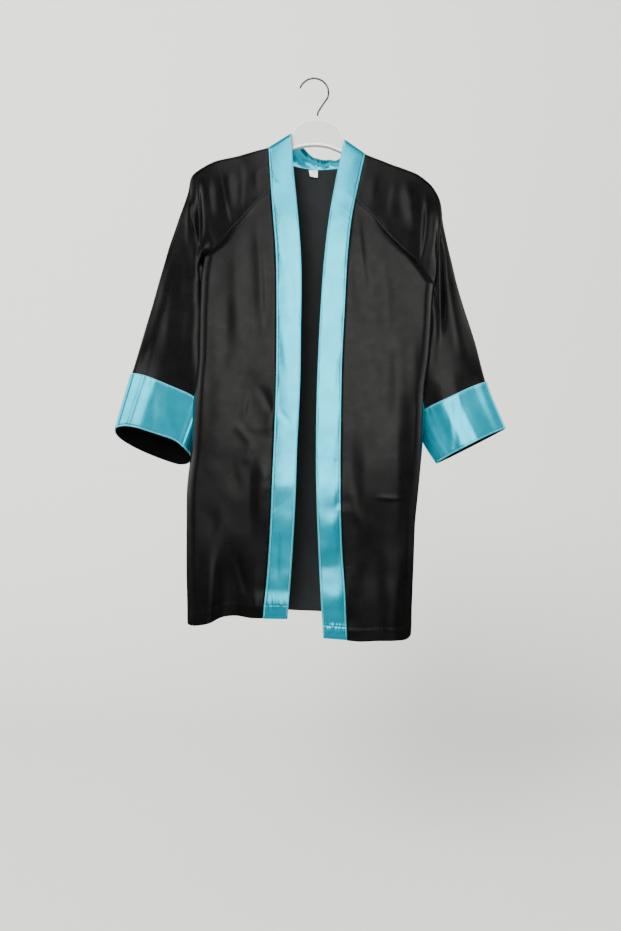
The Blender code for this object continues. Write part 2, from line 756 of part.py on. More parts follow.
def add_label(material):
    """The label hangs from the neck seam on the back's inner face."""
    columns, rows = 3, 2
    forward = (0.0, SATIN + SEAM_GAP + LABEL_THICKNESS, 0.0)
    grid = np.zeros((rows + 1, columns + 1, 3))
    for row in range(rows + 1):
        for column in range(columns + 1):
            x = LABEL_CENTRE.x + LABEL_SIZE[0] * (column / columns - 0.5)
            z = LABEL_CENTRE.z - LABEL_SIZE[1] * (row / rows - 0.5)
            grid[row, column] = back_at(x, z) - forward
    return add_wall("label", grid, LABEL_THICKNESS, material)


def arm_top(side, x):
    """Height of the hanger's shoulder under the cloth that rests on it."""
    return Route(side.ridge_line).where(0, x)[2] - SATIN - SHOULDER_SEAT


def arm_outline(side, tip_x):
    """The top of one shoulder of the hanger, from its tip to the band."""
    neck_x = side.ridge_line[0].x + side.sign * BAND_STEP
    xs = [tip_x + (neck_x - tip_x) * step / ARM_STEPS for step in range(ARM_STEPS + 1)]
    return [Level(x, arm_top(side, x)) for x in xs]


def hanger_outline():
    """The hanger's outline from the right tip over the middle to the left tip and back."""
    right_arm, left_arm = arm_outline(RIGHT, RIGHT_TIP_X), arm_outline(LEFT, LEFT_TIP_X)
    return right_arm + list(HUMP) + left_arm[::-1] + list(reversed(UNDERSIDE))


def add_curve(name, outline, material):
    curve = bpy.data.curves.new(name, "CURVE")
    curve.materials.append(material)
    spline = curve.splines.new("POLY")
    spline.points.add(len(outline) - 1)
    for point, place in zip(spline.points, outline):
        point.co = (*place, 1.0)
    piece = bpy.data.objects.new(name, curve)
    PARTS.objects.link(piece)
    return piece


def add_hanger_body(material):
    """A flat outline in the XZ plane with rounded rims."""
    outline = [(level.x, level.z, 0.0) for level in hanger_outline()]
    piece = add_curve("hanger_body", outline, material)
    curve = piece.data
    curve.splines[0].use_cyclic_u = True
    curve.dimensions = "2D"
    curve.fill_mode = "BOTH"
    curve.extrude = 0.5 * ARM_THICKNESS - HANGER_EDGE_ROUND
    curve.bevel_depth = HANGER_EDGE_ROUND
    curve.bevel_resolution = 2
    curve.offset = -HANGER_EDGE_ROUND
    piece.rotation_euler.x = math.pi / 2
    return piece


def add_hanger_hook(material):
    """The wire hook: an arc over the origin, then a stem down to the boss."""
    centre = WIRE_RADIUS - HOOK_RADIUS
    route = []
    for step in range(HOOK_STEPS + 1):
        angle = HOOK_TIP_ANGLE + (HOOK_STEM_ANGLE - HOOK_TIP_ANGLE) * step / HOOK_STEPS
        route.append((HOOK_RADIUS * math.cos(angle), centre + HOOK_RADIUS * math.sin(angle)))
    stem = Route([route[-1]] + list(HOOK_STEM))
    route += [tuple(stem.at(step / STEM_STEPS)) for step in range(1, STEM_STEPS + 1)]
    piece = add_curve("hanger_hook", [(x, 0.0, z) for x, z in route], material)
    curve = piece.data
    curve.dimensions = "3D"
    curve.bevel_depth = WIRE_RADIUS
    curve.bevel_resolution = 2
    curve.use_fill_caps = True
    return piece


def add_material(name, colour, roughness, metallic=0.0):
    material = bpy.data.materials.new(name)
    material.use_nodes = True
    shader = material.node_tree.nodes["Principled BSDF"]
    shader.inputs["Base Color"].default_value = (*colour, 1.0)
    shader.inputs["Roughness"].default_value = roughness
    shader.inputs["Metallic"].default_value = metallic
    return material


def build():
    black = add_material("black_satin", (0.018, 0.017, 0.018), 0.42)
    turquoise = add_material("turquoise_satin", (0.10, 0.56, 0.66), 0.38)
    white_label = add_material("label_cloth", (0.80, 0.80, 0.82), 0.70)
    plastic = add_material("hanger_plastic", (0.78, 0.78, 0.75), 0.45)
    steel = add_material("hook_steel", (0.55, 0.55, 0.56), 0.28, metallic=1.0)
    for word, side in (("right", RIGHT), ("left", LEFT)):
        add_front(f"front_{word}", side, black)
        add_sleeve(f"sleeve_{word}", side, black)
        add_cuff(f"cuff_{word}", side, turquoise)
        add_band(f"band_{word}", side, turquoise)
    add_back(black)
    add_neck_band(turquoise)
    add_label(white_label)
    add_hanger_body(plastic)
    add_hanger_hook(steel)


for old in list(bpy.data.objects):
    bpy.data.objects.remove(old, do_unlink=True)
PARTS = bpy.data.collections.new("graduation_gown")
bpy.context.scene.collection.children.link(PARTS)
build()
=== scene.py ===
"""A child's open graduation gown on its hanger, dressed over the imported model.

Every cloth piece is a thin shell laid on its solid's outer face, with the seams, hems, stitches,
creases and slow unevenness of hung satin. Lengths are in metres, except in the tables that metres()
reads, which are in millimetres. "right" is the wearer's, at -X.
"""

import math
from collections import namedtuple
from functools import partial

import bpy
import numpy as np
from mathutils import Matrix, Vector


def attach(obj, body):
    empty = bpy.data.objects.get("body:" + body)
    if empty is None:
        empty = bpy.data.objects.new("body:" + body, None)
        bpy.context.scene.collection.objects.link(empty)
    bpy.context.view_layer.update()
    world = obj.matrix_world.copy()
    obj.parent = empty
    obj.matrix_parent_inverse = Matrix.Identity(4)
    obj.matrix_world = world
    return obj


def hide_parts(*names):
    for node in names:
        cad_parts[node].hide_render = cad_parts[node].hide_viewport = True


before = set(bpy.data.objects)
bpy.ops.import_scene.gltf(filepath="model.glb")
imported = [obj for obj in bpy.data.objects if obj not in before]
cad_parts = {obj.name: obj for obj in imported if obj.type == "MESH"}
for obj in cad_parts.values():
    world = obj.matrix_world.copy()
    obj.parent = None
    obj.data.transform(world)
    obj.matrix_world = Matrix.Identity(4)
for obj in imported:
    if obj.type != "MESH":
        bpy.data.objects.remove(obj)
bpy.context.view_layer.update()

# Sizes that the cloth shares with the solids it lies on, and where it keeps less of their form.
SATIN = 0.0012
DOUBLED_SATIN = 0.0018
SEAM_GAP = 0.0003
LABEL_FORWARD = 0.0016
BACK_Y = 0.0195
RIDGE_HALF = 0.0085
RIDGE_REACH = 0.0090
SIDE_ROUND = 0.018
BACK_SIDE_REACH = 0.085
INNER_FOLD_REACH = 0.034
FRONT_FOLD_REACH = 0.045
BACK_FOLD_REACH = 0.095
BAND_CROWN = 0.0005
CUFF_START = 11.0 / 13.0
EDGE_DROP = 0.112
FRONT_FADE = 0.12
BACK_FADE = 0.10
SLEEVE_FADE = 0.012
FOLD_ENDS = 0.4
HEM_FOLD_Z = -0.88
HEM_FOLD_RISE = 0.625
FRONT_FOLDS_KEPT = 0.40
SLEEVE_FOLDS_KEPT = 0.75
SIDE_STEP = 0.05
SLEEVE_STEP = 0.06
BACK_STEP = 0.125
HEM_WAVE_SPAN = 0.26
SIDE_TUCK = 0.0002
HEM_RISE_SPAN = 0.65
SAG_SPAN = 1.2
SAG_POWER = 0.7
BAND_NECK_SHARE = 0.12
NECK_SLEEVE_SHARE = 0.14
RIDGE_BUNCHING = 1.6
ROLL_FORWARD = 0.0040
ROLL_UP = 0.0045
NECKLINE_SAG = 0.0125
BACK_HEM_RISE = 0.0215
TINY = 1e-6

Station = namedtuple("Station", "seam ridge front back closed tilt")
Fold = namedtuple("Fold", "x_top z_top x_bottom z_bottom half_width depth")
Side = namedtuple(
    "Side",
    "sign ridge_line raglan_front raglan_back side_fold inner_fold band_seam band_edge stations "
    "front_folds sleeve_folds hem",
)


def metres(rows, kind=None):
    """Rows of millimetres as rows of metres, each one a tuple of this kind."""
    rows = [tuple(value / 1000.0 for value in row) for row in rows]
    return [kind(*row) for row in rows] if kind else rows


def both(kind, right, left):
    """Tables of millimetres for the right piece and for the left one."""
    return {"right": metres(right, kind), "left": metres(left, kind)}


# Lines are rows of x, y and z. Folds have Fold's columns and stations Station's, in metres.
# The hem's rows, in metres too, are share across the front, drop and out.
RIGHT = Side(
    sign=-1,
    ridge_line=metres((
        (-74.9, 0, -113.3), (-122.1, 0, -126.5), (-171.6, 0, -139.7), (-189.2, 0, -149.7),
        (-199.1, 0.5, -157.5), (-209.4, 2, -189.9), (-227.7, 4, -239.4), (-238.5, 4, -271.9),
        (-270.3, 4, -381.2), (-301.9, 4, -490.4), (-328.2, 4, -583.2),
    )),
    raglan_front=metres((
        (-69.3, -22.5, -191.5), (-92.5, -25, -211.9), (-113.3, -25.8, -236.6),
        (-134.4, -25, -257.1), (-154.1, -21, -280.2), (-180.1, -8, -299.5),
    )),
    raglan_back=metres((
        (-61.8, 14, -126.2), (-100, 17.5, -174), (-133, 16.5, -220), (-160, 8.5, -262),
        (-180.1, -6, -299.5),
    )),
    side_fold=metres((
        (-180.1, -7, -299.5), (-183.2, -9.8, -325.5), (-186.5, -10, -378.1),
        (-189.6, -10, -466.3), (-197.1, -10, -536.5), (-201, -10, -619.8), (-207, -10, -675),
        (-207.9, -10, -735.8), (-206.7, -10, -873), (-206.2, -10, -892.4),
    )),
    inner_fold=metres((
        (-180.1, -6, -299.5), (-183.5, 1.5, -318), (-180, 6, -350), (-176, 7, -400),
        (-176, 9, -470), (-183, 13, -548), (-206, 12, -622.5),
    )),
    band_seam=metres((
        (-69.3, -22.5, -191.5), (-67, -25, -220), (-61.2, -30, -298.3), (-59.8, -32, -393.3),
        (-61, -33, -513.3), (-65.4, -34, -633), (-68.8, -34, -717.5), (-75.5, -34, -818),
        (-81.6, -34, -880.8),
    )),
    band_edge=metres((
        (-37.6, 0, -90.2), (-33.6, -21, -152.6), (-28.1, -27, -210.2), (-21.1, -32, -299),
        (-21.1, -34.5, -427.3), (-22.5, -35.5, -513.5), (-26.8, -36, -599.6),
        (-30.2, -36, -699.9), (-36.2, -36, -800.1), (-42.4, -36, -881.2),
    )),
    stations=(
        (0, 0, 0.0085, 0.0085, 0, 0), (0.19, 0.062, 0.0085, 0.0085, 0, 0),
        (0.4, 0.12, 0.0085, 0.0085, 0, 0), (0.6, 0.17, 0.0085, 0.0085, 0, 0),
        (0.78, 0.208, 0.008, 0.0085, 0, 0), (0.91, 0.25, 0.008, 0.009, 0.2, 0),
        (1, 0.298, 0.0095, 0.0105, 0.7, 0), (1.06, 0.345, 0.011, 0.012, 1, 0),
        (1.17, 0.415, 0.013, 0.014, 1, 0.1), (1.32, 0.52, 0.015, 0.0155, 1, 0.2),
        (1.5, 0.66, 0.016, 0.0165, 1, 0.4), (1.742, 0.833, 0.0175, 0.018, 1, 0.7),
        (1.87, 0.915, 0.0185, 0.0185, 1, 0.9), (2, 1, 0.019, 0.019, 1, 1.08),
    ),
    front_folds=metres((
        (-160, -720, -155, -900, 16, 7), (-120, -740, -131, -900, 18, -5),
        (-100, -470, -94, -610, 22, -5), (-150, -320, -160, -700, 26, 4),
    ), Fold),
    sleeve_folds=metres((
        (-195.5, -168, -180, -330, 9, -7.5), (-174, -160, -168, -250, 10, 4),
        (-142, -150, -132, -235, 11, 3), (-230, -260, -275, -480, 14, 4),
    ), Fold),
    hem=(
        (0, 0, 0), (0.15, 0.001, 0.003), (0.34, -0.002, 0.003), (0.43, -0.0062, -0.003),
        (0.62, -0.008, -0.002), (0.85, -0.0025, 0.001), (1, 0, 0),
    ),
)

LEFT = Side(
    sign=1,
    ridge_line=metres((
        (84.4, 0, -124), (126.5, 0, -140.8), (174.8, 0, -160), (192.5, 0, -174.8),
        (206.2, 0.5, -196.2), (212.9, 2, -234.6), (225.9, 4, -291.7), (241.8, 4, -354.7),
        (268.1, 4, -437.5), (284.8, 4, -500.4), (316, 4, -576.4),
    )),
    raglan_front=metres((
        (66, -22.5, -208), (90.5, -25, -231), (112.8, -25.8, -257.7), (141, -25, -285.2),
        (166, -21.5, -306.6), (181, -16.5, -324.3), (196.3, -8, -345),
    )),
    raglan_back=metres((
        (73.6, 14, -131.2), (110, 17.5, -185), (145, 16.5, -248), (175, 8.5, -302),
        (196.3, -6, -345),
    )),
    side_fold=metres((
        (196.3, -7, -345), (193.7, -9.5, -366.4), (192, -10, -401), (187.6, -10, -466.3),
        (181.9, -10, -507.1), (177.1, -10, -598.6), (168.7, -10, -690.1), (165.5, -10, -721.1),
        (162.4, -10, -794.6), (158.7, -10, -887.7), (157.9, -10, -908.8),
    )),
    inner_fold=metres((
        (196.3, -6, -345), (191.5, 2.5, -364), (186.5, 6, -395), (180, 7, -440), (169, 10, -500),
        (166.5, 13, -558), (183, 11, -598), (204, 6, -633),
    )),
    band_seam=metres((
        (66, -22.5, -208), (61.8, -24.5, -230), (53.8, -30, -298.3), (49, -32, -383.7),
        (44.5, -33, -470.2), (42.8, -34, -556.5), (41.9, -34, -633), (41.9, -34, -700),
        (44.3, -34, -767), (48.7, -34, -834), (52.4, -34, -915),
    )),
    band_edge=metres((
        (50.4, 0, -99.8), (39.6, -19, -150), (31.6, -24.5, -193.2), (26.8, -27, -220.2),
        (16.8, -32, -299), (10.5, -34, -384.2), (6.1, -35, -470.5), (3.3, -36, -577.3),
        (3.3, -36, -660.1), (6.8, -36, -766.7), (10.8, -36, -851.1), (14.4, -36, -911.6),
    )),
    stations=(
        (0, 0, 0.0085, 0.0085, 0, 0), (0.19, 0.058, 0.0085, 0.0085, 0, 0),
        (0.4, 0.116, 0.0085, 0.0085, 0, 0), (0.6, 0.17, 0.0085, 0.0085, 0, 0),
        (0.78, 0.222, 0.008, 0.0085, 0, 0), (0.91, 0.283, 0.008, 0.009, 0.2, 0),
        (1, 0.345, 0.0095, 0.0105, 0.7, 0), (1.06, 0.395, 0.011, 0.012, 1, 0),
        (1.18, 0.472, 0.0125, 0.0135, 1, 0.1), (1.34, 0.578, 0.014, 0.0145, 1, 0.2),
        (1.52, 0.705, 0.0145, 0.015, 1, 0.3), (1.715, 0.8485, 0.0155, 0.0155, 1, 0.35),
        (1.86, 0.922, 0.015, 0.015, 1, 0.3), (2, 1, 0.0135, 0.0135, 1, 0.2),
    ),
    front_folds=metres((
        (130, -720, 128, -920, 18, 6), (90, -600, 96, -920, 20, -4.5),
        (150, -400, 125, -700, 24, 4.5), (78, -270, 82, -470, 18, -3.5),
    ), Fold),
    sleeve_folds=metres((
        (206, -210, 200, -420, 9, -7.5), (189, -190, 185, -300, 10, 4),
        (150, -165, 162, -260, 11, 3), (225, -320, 245, -500, 13, 4),
    ), Fold),
    hem=(
        (0, 0, 0), (0.03, 0.0026, 0), (0.07, 0.0046, -0.001), (0.14, 0.0056, -0.001),
        (0.25, 0.0048, 0.002), (0.55, 0.0042, 0.003), (0.8, 0.004, 0.001), (1, 0.0012, 0),
    ),
)

NECK_EDGE = metres((
    (-37.6, 0, -90.2), (-37.2, 6, -90.8), (-35, 11, -91.8), (-26.8, 20, -93.6),
    (-15.1, 29, -100.3), (-2.4, 34.5, -110.5), (18.1, 36.5, -115.4), (38, 32, -118),
    (50, 20, -112), (51.5, 8.5, -103), (50.4, 0, -99.8),
))
BACK_FOLDS = metres((
    (-110, -450, -125, -900, 24, 6), (-30, -550, -25, -900, 26, -4.5),
    (70, -500, 85, -910, 24, 5.5), (-60, -200, -75, -480, 22, 3.5),
    (80, -220, 100, -500, 22, 3.5),
), Fold)


def clamped(value):
    return np.clip(value, 0.0, 1.0)


def quarter(value):
    """Height of a quarter circle: 0 at 0, then 1 from 1 onwards."""
    return np.sqrt(1.0 - (1.0 - clamped(value)) ** 2)


def ease(value):
    value = clamped(value)
    return value * value * (3.0 - 2.0 * value)


def inside(value, reach, total=1.0):
    """1 well inside 0 to the total, easing to 0 within this reach of both ends."""
    return ease(value / reach) * ease((total - value) / reach)


def after(value, span):
    """0 before a span's start, easing to 1 over its length."""
    return ease((value - span[0]) / span[1])


def arch(share):
    """A parabola: 0 at 0 and at 1, and 1 between them."""
    return 4.0 * share * (1.0 - share)


def smooth(keys, values, at):
    """The values at an array of keys, on a cubic curve through every row."""
    keys, values = np.asarray(keys, float), np.asarray(values, float)
    at = np.clip(np.asarray(at, float), keys[0], keys[-1])
    row = np.clip(np.searchsorted(keys, at, side="right") - 1, 0, len(keys) - 2)
    steps = np.diff(keys)
    wide = steps.reshape([-1] + [1] * (values.ndim - 1))
    secants = np.diff(values, axis=0) / wide
    slopes = np.empty_like(values)
    slopes[0], slopes[-1] = secants[0], secants[-1]
    slopes[1:-1] = (secants[:-1] * wide[1:] + secants[1:] * wide[:-1]) / (wide[:-1] + wide[1:])
    width, t = steps[row], (at - keys[row]) / steps[row]
    if values.ndim > 1:
        width, t = width[..., None], t[..., None]
    start = values[row] * (1 + 2 * t) * (1 - t) ** 2 + slopes[row] * width * t * (1 - t) ** 2
    end = values[row + 1] * t * t * (3 - 2 * t) + slopes[row + 1] * width * t * t * (t - 1)
    return start + end


def read_table(rows, at):
    """The other columns of a table where its first column has these values."""
    rows = np.array(rows, float)
    return smooth(rows[:, 0], rows[:, 1:], at)


class Route:
    """A smooth curve through a table of points, read by its fraction of length."""

    def __init__(self, rows):
        self.rows = np.array(rows, float)
        steps = np.linalg.norm(np.diff(self.rows, axis=0), axis=1)
        self.fractions = np.concatenate(([0.0], np.cumsum(steps))) / steps.sum()

    def at(self, fraction):
        return smooth(self.fractions, self.rows, fraction)

    def where(self, column, value):
        keys = self.rows[:, column]
        order = 1 if keys[-1] > keys[0] else -1
        return smooth(keys[::order], self.rows[::order], value)


def fold_out(folds, x, z, share_kept=1.0):
    """How far the solids' folds push a wall out at these places."""
    out = np.zeros(np.broadcast(x, z).shape)
    for fold in folds:
        share = (z - fold.z_top) / (fold.z_bottom - fold.z_top)
        middle = fold.x_top + (fold.x_bottom - fold.x_top) * share
        strength = inside(share, FOLD_ENDS)
        if fold.z_bottom < HEM_FOLD_Z:
            strength = ease(share / HEM_FOLD_RISE)
        strength = np.where((share > 0.0) & (share < 1.0), strength, 0.0)
        across = np.exp(-(((x - middle) / fold.half_width) ** 2))
        out += share_kept * fold.depth * strength * across
    return out


def front_base(side, across, down):
    """Points of a front's outer face; across and down are arrays of one shape."""
    lower = (down >= 1.0)[..., None]
    side_line = Route(side.side_fold).at(down - 1.0)
    side_line[..., 1] -= SIDE_TUCK * after(down, (1.0, SIDE_STEP))
    outer = np.where(lower, side_line, Route(side.raglan_front).at(down))
    top, inner_hem = side.raglan_front[0][2], side.band_seam[-1][2]
    lowered = (outer[..., 2] - top) / (side.side_fold[-1][2] - top)
    inner = Route(side.band_seam).where(2, top + (inner_hem - top) * lowered)
    point = outer + (inner - outer) * across[..., None]
    round_in = quarter(across * np.abs(inner[..., 0] - outer[..., 0]) / SIDE_ROUND)
    point[..., 1] = outer[..., 1] + (inner[..., 1] - outer[..., 1]) * round_in
    folds = fold_out(side.front_folds, point[..., 0], point[..., 2], FRONT_FOLDS_KEPT)
    point[..., 1] -= folds * inside(across, FRONT_FADE)
    near_hem = ease(1.0 - (2.0 - down) / HEM_WAVE_SPAN)
    wave = read_table(side.hem, across) * near_hem[..., None]
    point[..., 2] -= wave[..., 0]
    point[..., 1] -= wave[..., 1]
    return point


def back_base(across, down):
    """Points of the back's outer face, from the right to the left."""
    ends = []
    for side in (RIGHT, LEFT):
        side_line = Route(side.side_fold).at(down - 1.0)
        rise = side.raglan_back[-1][1] - side.side_fold[0][1]
        side_line[..., 1] += rise * (1.0 - after(down, (1.0, BACK_STEP)))
        raglan = Route(side.raglan_back).at(down)
        ends.append(np.where((down > 1.0)[..., None], side_line, raglan))
    width = np.linalg.norm(ends[1] - ends[0], axis=-1)
    point = ends[0] + (ends[1] - ends[0]) * across[..., None]
    edge_y = np.where(across < 0.5, ends[0][..., 1], ends[1][..., 1])
    distance = width * np.minimum(across, 1.0 - across)
    point[..., 1] = edge_y + (BACK_Y - edge_y) * ease(distance / BACK_SIDE_REACH)
    sag = clamped(arch(across)) ** SAG_POWER * (1.0 - ease(down / SAG_SPAN))
    point[..., 2] -= NECKLINE_SAG * sag
    point[..., 2] += BACK_HEM_RISE * arch(across) * ease(1.0 - (2.0 - down) / HEM_RISE_SPAN)
    point[..., 1] += fold_out(BACK_FOLDS, point[..., 0], point[..., 2]) * inside(across, BACK_FADE)
    return point


# The front of a sleeve's end: its height over the chord between its two folds, by share from the
# outer fold. It rolls over at the outer fold, then dips and comes forward towards the inner one.
# Rows are share and height in metres, for the wearer's right (-1) and left (1).
SLEEVE_ENDS = {
    -1: (
        (0, 0), (0.02, 0.0085), (0.05, 0.0122), (0.1, 0.0128), (0.16, 0.0124), (0.19, 0.0118),
        (0.22, 0.012), (0.28, 0.0118), (0.34, 0.0119), (0.42, 0.013), (0.52, 0.0146),
        (0.6, 0.0161), (0.7, 0.0183), (0.8, 0.0205), (0.9, 0.0226), (0.945, 0.0231),
        (0.965, 0.0212), (0.985, 0.013), (1, 0),
    ),
    1: (
        (0, 0), (0.02, 0.0054), (0.06, 0.0072), (0.2, 0.0097), (0.38, 0.0135), (0.43, 0.0144),
        (0.5, 0.0145), (0.56, 0.0147), (0.61, 0.0146), (0.66, 0.0136), (0.74, 0.0113),
        (0.82, 0.0092), (0.9, 0.007), (0.96, 0.0044), (1, 0),
    ),
}
END_BLEND = (0.74, 0.11)
# How far the middle of the front's lower edge is drawn up, over the last part of the sleeve.
END_LIFTS = {-1: 0.0, 1: 0.0024}
LIFT_BLEND = (0.90, 0.10)
# How far the middle of a sleeve comes forward towards its inner fold.
SLEEVE_LEANS = {-1: 0.0120, 1: 0.0}
LEAN_BLEND = (0.34, 0.10)
LEAN_TOWARDS, LEAN_BALANCE = 0.9, 0.35
LEAN_OUTER_FADE, LEAN_INNER_FADE = 0.10, 0.12


def end_profile(side, along, share, swell):
    profile = read_table(SLEEVE_ENDS[side.sign], share)[..., 0]
    lean = SLEEVE_LEANS[side.sign] * after(along, LEAN_BLEND)
    lean = lean * (ease(share / LEAN_TOWARDS) - LEAN_BALANCE)
    lean = lean * ease(share / LEAN_OUTER_FADE) * ease((1.0 - share) / LEAN_INNER_FADE)
    return swell + lean + (profile - swell - lean) * after(along, END_BLEND)


def sleeve_base(side, across, along):
    """Points of a sleeve's outer face: across is -1 at the front seam, 0 on the ridge, 1 behind."""
    rows = np.array(side.stations, float)
    rows = smooth(np.linspace(0.0, 1.0, len(rows)), rows, along)
    station = Station(*np.moveaxis(rows, -1, 0))
    front = across < 0
    facing = np.where(front, -1.0, 1.0)
    ridge = Route(side.ridge_line).at(station.ridge)
    seams = []
    for raglan in (side.raglan_front, side.raglan_back):
        under = Route(side.inner_fold).at(station.seam - 1.0)
        blend = 1.0 - after(station.seam, (1.0, SLEEVE_STEP))
        under[..., 1] += (raglan[-1][1] - side.inner_fold[0][1]) * blend
        above = Route(raglan).at(station.seam)
        seams.append(np.where((station.seam <= 1.0)[..., None], above, under))
    seam = np.where(front[..., None], seams[0], seams[1])
    length = np.linalg.norm(seam - ridge, axis=-1)
    share = np.abs(across)
    drop = share * length
    swell = np.where(front, station.front, station.back)
    fold_reach = np.where(front, FRONT_FOLD_REACH, BACK_FOLD_REACH)
    reach = RIDGE_REACH + (fold_reach - RIDGE_REACH) * clamped(station.closed)
    closing = quarter((length - drop) / INNER_FOLD_REACH)
    closing = station.closed * closing + (1.0 - station.closed) * (1.0 - share)
    swell = swell * quarter(drop / reach) * closing
    point = ridge + (seam - ridge) * share[..., None]
    point[..., 1] += facing * np.where(front, end_profile(side, along, share, swell), swell)
    point[..., 2] -= facing * station.tilt * swell
    lift = END_LIFTS[side.sign] * arch(share) * after(along, LIFT_BLEND)
    point[..., 2] += np.where(front, lift, 0.0)
    in_front = fold_out(side.sleeve_folds, point[..., 0], point[..., 2], SLEEVE_FOLDS_KEPT)
    behind = fold_out(side.sleeve_folds[1:], point[..., 0], point[..., 2])
    folds = facing * np.where(front, in_front, behind)
    point[..., 1] += folds * inside(drop, SLEEVE_FADE, length)
    return point


def band_seam_at(side, down):
    """A front band's seam: down the sleeve's neck edge, then down the front panel."""
    share = clamped(down / BAND_NECK_SHARE) ** RIDGE_BUNCHING
    on_sleeve = sleeve_base(side, -np.maximum(share, TINY), np.zeros_like(down))
    lower = Route(side.band_seam).at((down - BAND_NECK_SHARE) / (1.0 - BAND_NECK_SHARE))
    return np.where((down < BAND_NECK_SHARE)[..., None], on_sleeve, lower)


def band_base(side, across, down):
    """Points of a front band's outer face, from its seam to its free edge."""
    top = side.band_edge[0]
    seam = band_seam_at(side, down)
    ends = band_seam_at(side, np.array([0.0, 1.0]))[:, 2]
    lowered = (seam[..., 2] - ends[0]) / (ends[1] - ends[0])
    route = Route(side.band_edge)
    edge = route.where(2, top[2] + (side.band_edge[-1][2] - top[2]) * lowered)
    drop = top[2] - edge[..., 2]
    far_y = route.where(2, top[2] - EDGE_DROP)[1]
    share = clamped(drop / EDGE_DROP)
    rounding = -RIDGE_HALF * quarter(drop / RIDGE_REACH) * (1.0 - share) + far_y * share
    edge[..., 1] = np.where(drop < EDGE_DROP, rounding, edge[..., 1])
    point = seam + (edge - seam) * across[..., None]
    point[..., 1] -= BAND_CROWN * arch(across) * ease(down / BAND_NECK_SHARE)
    return point


def neck_base(across, around):
    """Points of the neck band's face, from its seam up to its free edge."""
    middle = clamped((around - NECK_SLEEVE_SHARE) / (1.0 - 2.0 * NECK_SLEEVE_SHARE))
    seam = back_base(middle, np.zeros_like(around))
    for side, from_end in ((RIGHT, around), (LEFT, 1.0 - around)):
        share = clamped(from_end / NECK_SLEEVE_SHARE) ** RIDGE_BUNCHING
        on_sleeve = sleeve_base(side, np.maximum(share, TINY), np.zeros_like(around))
        seam = np.where((from_end < NECK_SLEEVE_SHARE)[..., None], on_sleeve, seam)
    point = seam + (Route(NECK_EDGE).at(around) - seam) * across[..., None]
    roll = np.sin(math.pi * around) * arch(across)
    point[..., 1] -= ROLL_FORWARD * roll
    point[..., 2] += ROLL_UP * roll
    return point


# Cloth surfaces: listed creases, slow unevenness, seams and their puckers.

Crease = namedtuple("Crease", "x0 z0 x1 z1 bow left right depth")
Swell = namedtuple("Swell", "top crest bottom left right fade out")
CREASE_ENDS = 0.35


def crease_out(creases, x, z):
    """How far the small creases lift the cloth: each is uneven across and fades at its ends."""
    out = np.zeros(np.broadcast(x, z).shape)
    for c in creases:
        dx, dz = c.x1 - c.x0, c.z1 - c.z0
        length = math.hypot(dx, dz)
        ux, uz = dx / length, dz / length
        along = ((x - c.x0) * ux + (z - c.z0) * uz) / length
        aside = (x - c.x0) * uz - (z - c.z0) * ux - c.bow * arch(along)
        width = np.where(aside < 0.0, c.left, c.right)
        near = np.where((along > 0.0) & (along < 1.0), inside(along, CREASE_ENDS), 0.0)
        out += c.depth * near * np.exp(-((aside / width) ** 2))
    return out


def swell_out(swells, x, z):
    """Broad rolls across the cloth: out at the crest, fading above, below and to both sides."""
    out = np.zeros(np.broadcast(x, z).shape)
    for s in swells:
        above, below = (s.top - z) / (s.top - s.crest), (z - s.bottom) / (s.crest - s.bottom)
        aside = ease((x - s.left) / s.fade + 1.0) * ease((s.right - x) / s.fade + 1.0)
        out += s.out * np.minimum(ease(above), ease(below)) * aside
    return out


def uneven(x, z, waves):
    """Slow rolling of hung cloth: each wave bends and swells slowly along its crests."""
    out = np.zeros(np.broadcast(x, z).shape)
    for angle, length, phase, height in waves:
        u = x * math.cos(angle) + z * math.sin(angle)
        v = -x * math.sin(angle) + z * math.cos(angle)
        bend = 0.35 * np.sin(v / (2.3 * length) * 2.0 * math.pi + 1.7 * phase)
        swell = 0.6 + 0.4 * np.sin(v / (1.7 * length) * 2.0 * math.pi + phase)
        out += height * swell * np.sin(u / length * 2.0 * math.pi + phase + 2.0 * bend)
    return out


def groove(distance, depth, width):
    """A seam's dip at a distance from the seam line."""
    return -depth * np.exp(-((distance / width) ** 2))


def puckers(distance, along, gather, phase):
    """Small gathers that stand square to a seam and fade away from it, uneven in step."""
    height, reach, spacing = gather
    warped = along + 0.35 * spacing * np.sin(along / spacing * 1.9 + phase)
    warped = warped + 0.8 * spacing * np.sin(along / (spacing * 5.3) + 2.1 * phase)
    strength = 0.55 + 0.45 * np.sin(along / (spacing * 3.1) * 2.0 + 3.0 * phase)
    return height * strength * np.exp(-distance / reach) * np.sin(warped / spacing * 2.0 * math.pi)


# Long waves: angle, length, phase and height.
WAVES_FRONT = (
    (0.15, 0.061, 0.4, 0.00018), (-0.25, 0.043, 2.1, 0.00012), (1.25, 0.078, 1.1, 0.00014),
    (1.80, 0.052, 3.7, 0.00009), (0.60, 0.030, 5.0, 0.00004), (2.40, 0.033, 0.9, 0.00004),
)
WAVES_BACK = (
    (-0.12, 0.067, 1.4, 0.00020), (0.30, 0.047, 3.1, 0.00013), (1.40, 0.083, 0.2, 0.00014),
    (1.95, 0.055, 2.2, 0.00010), (0.75, 0.034, 4.4, 0.00005),
)
WAVES_SLEEVE = (
    (0.35, 0.052, 2.6, 0.00016), (-0.20, 0.038, 0.7, 0.00012), (1.10, 0.066, 4.1, 0.00014),
    (1.75, 0.044, 1.9, 0.00008), (2.50, 0.029, 3.3, 0.00004),
)
WAVES_BAND = (
    (1.57, 0.083, 0.8, 0.00018), (1.20, 0.052, 2.9, 0.00012), (2.00, 0.037, 4.6, 0.00008),
    (0.20, 0.036, 1.3, 0.00005), (1.40, 0.024, 5.6, 0.00002),
)


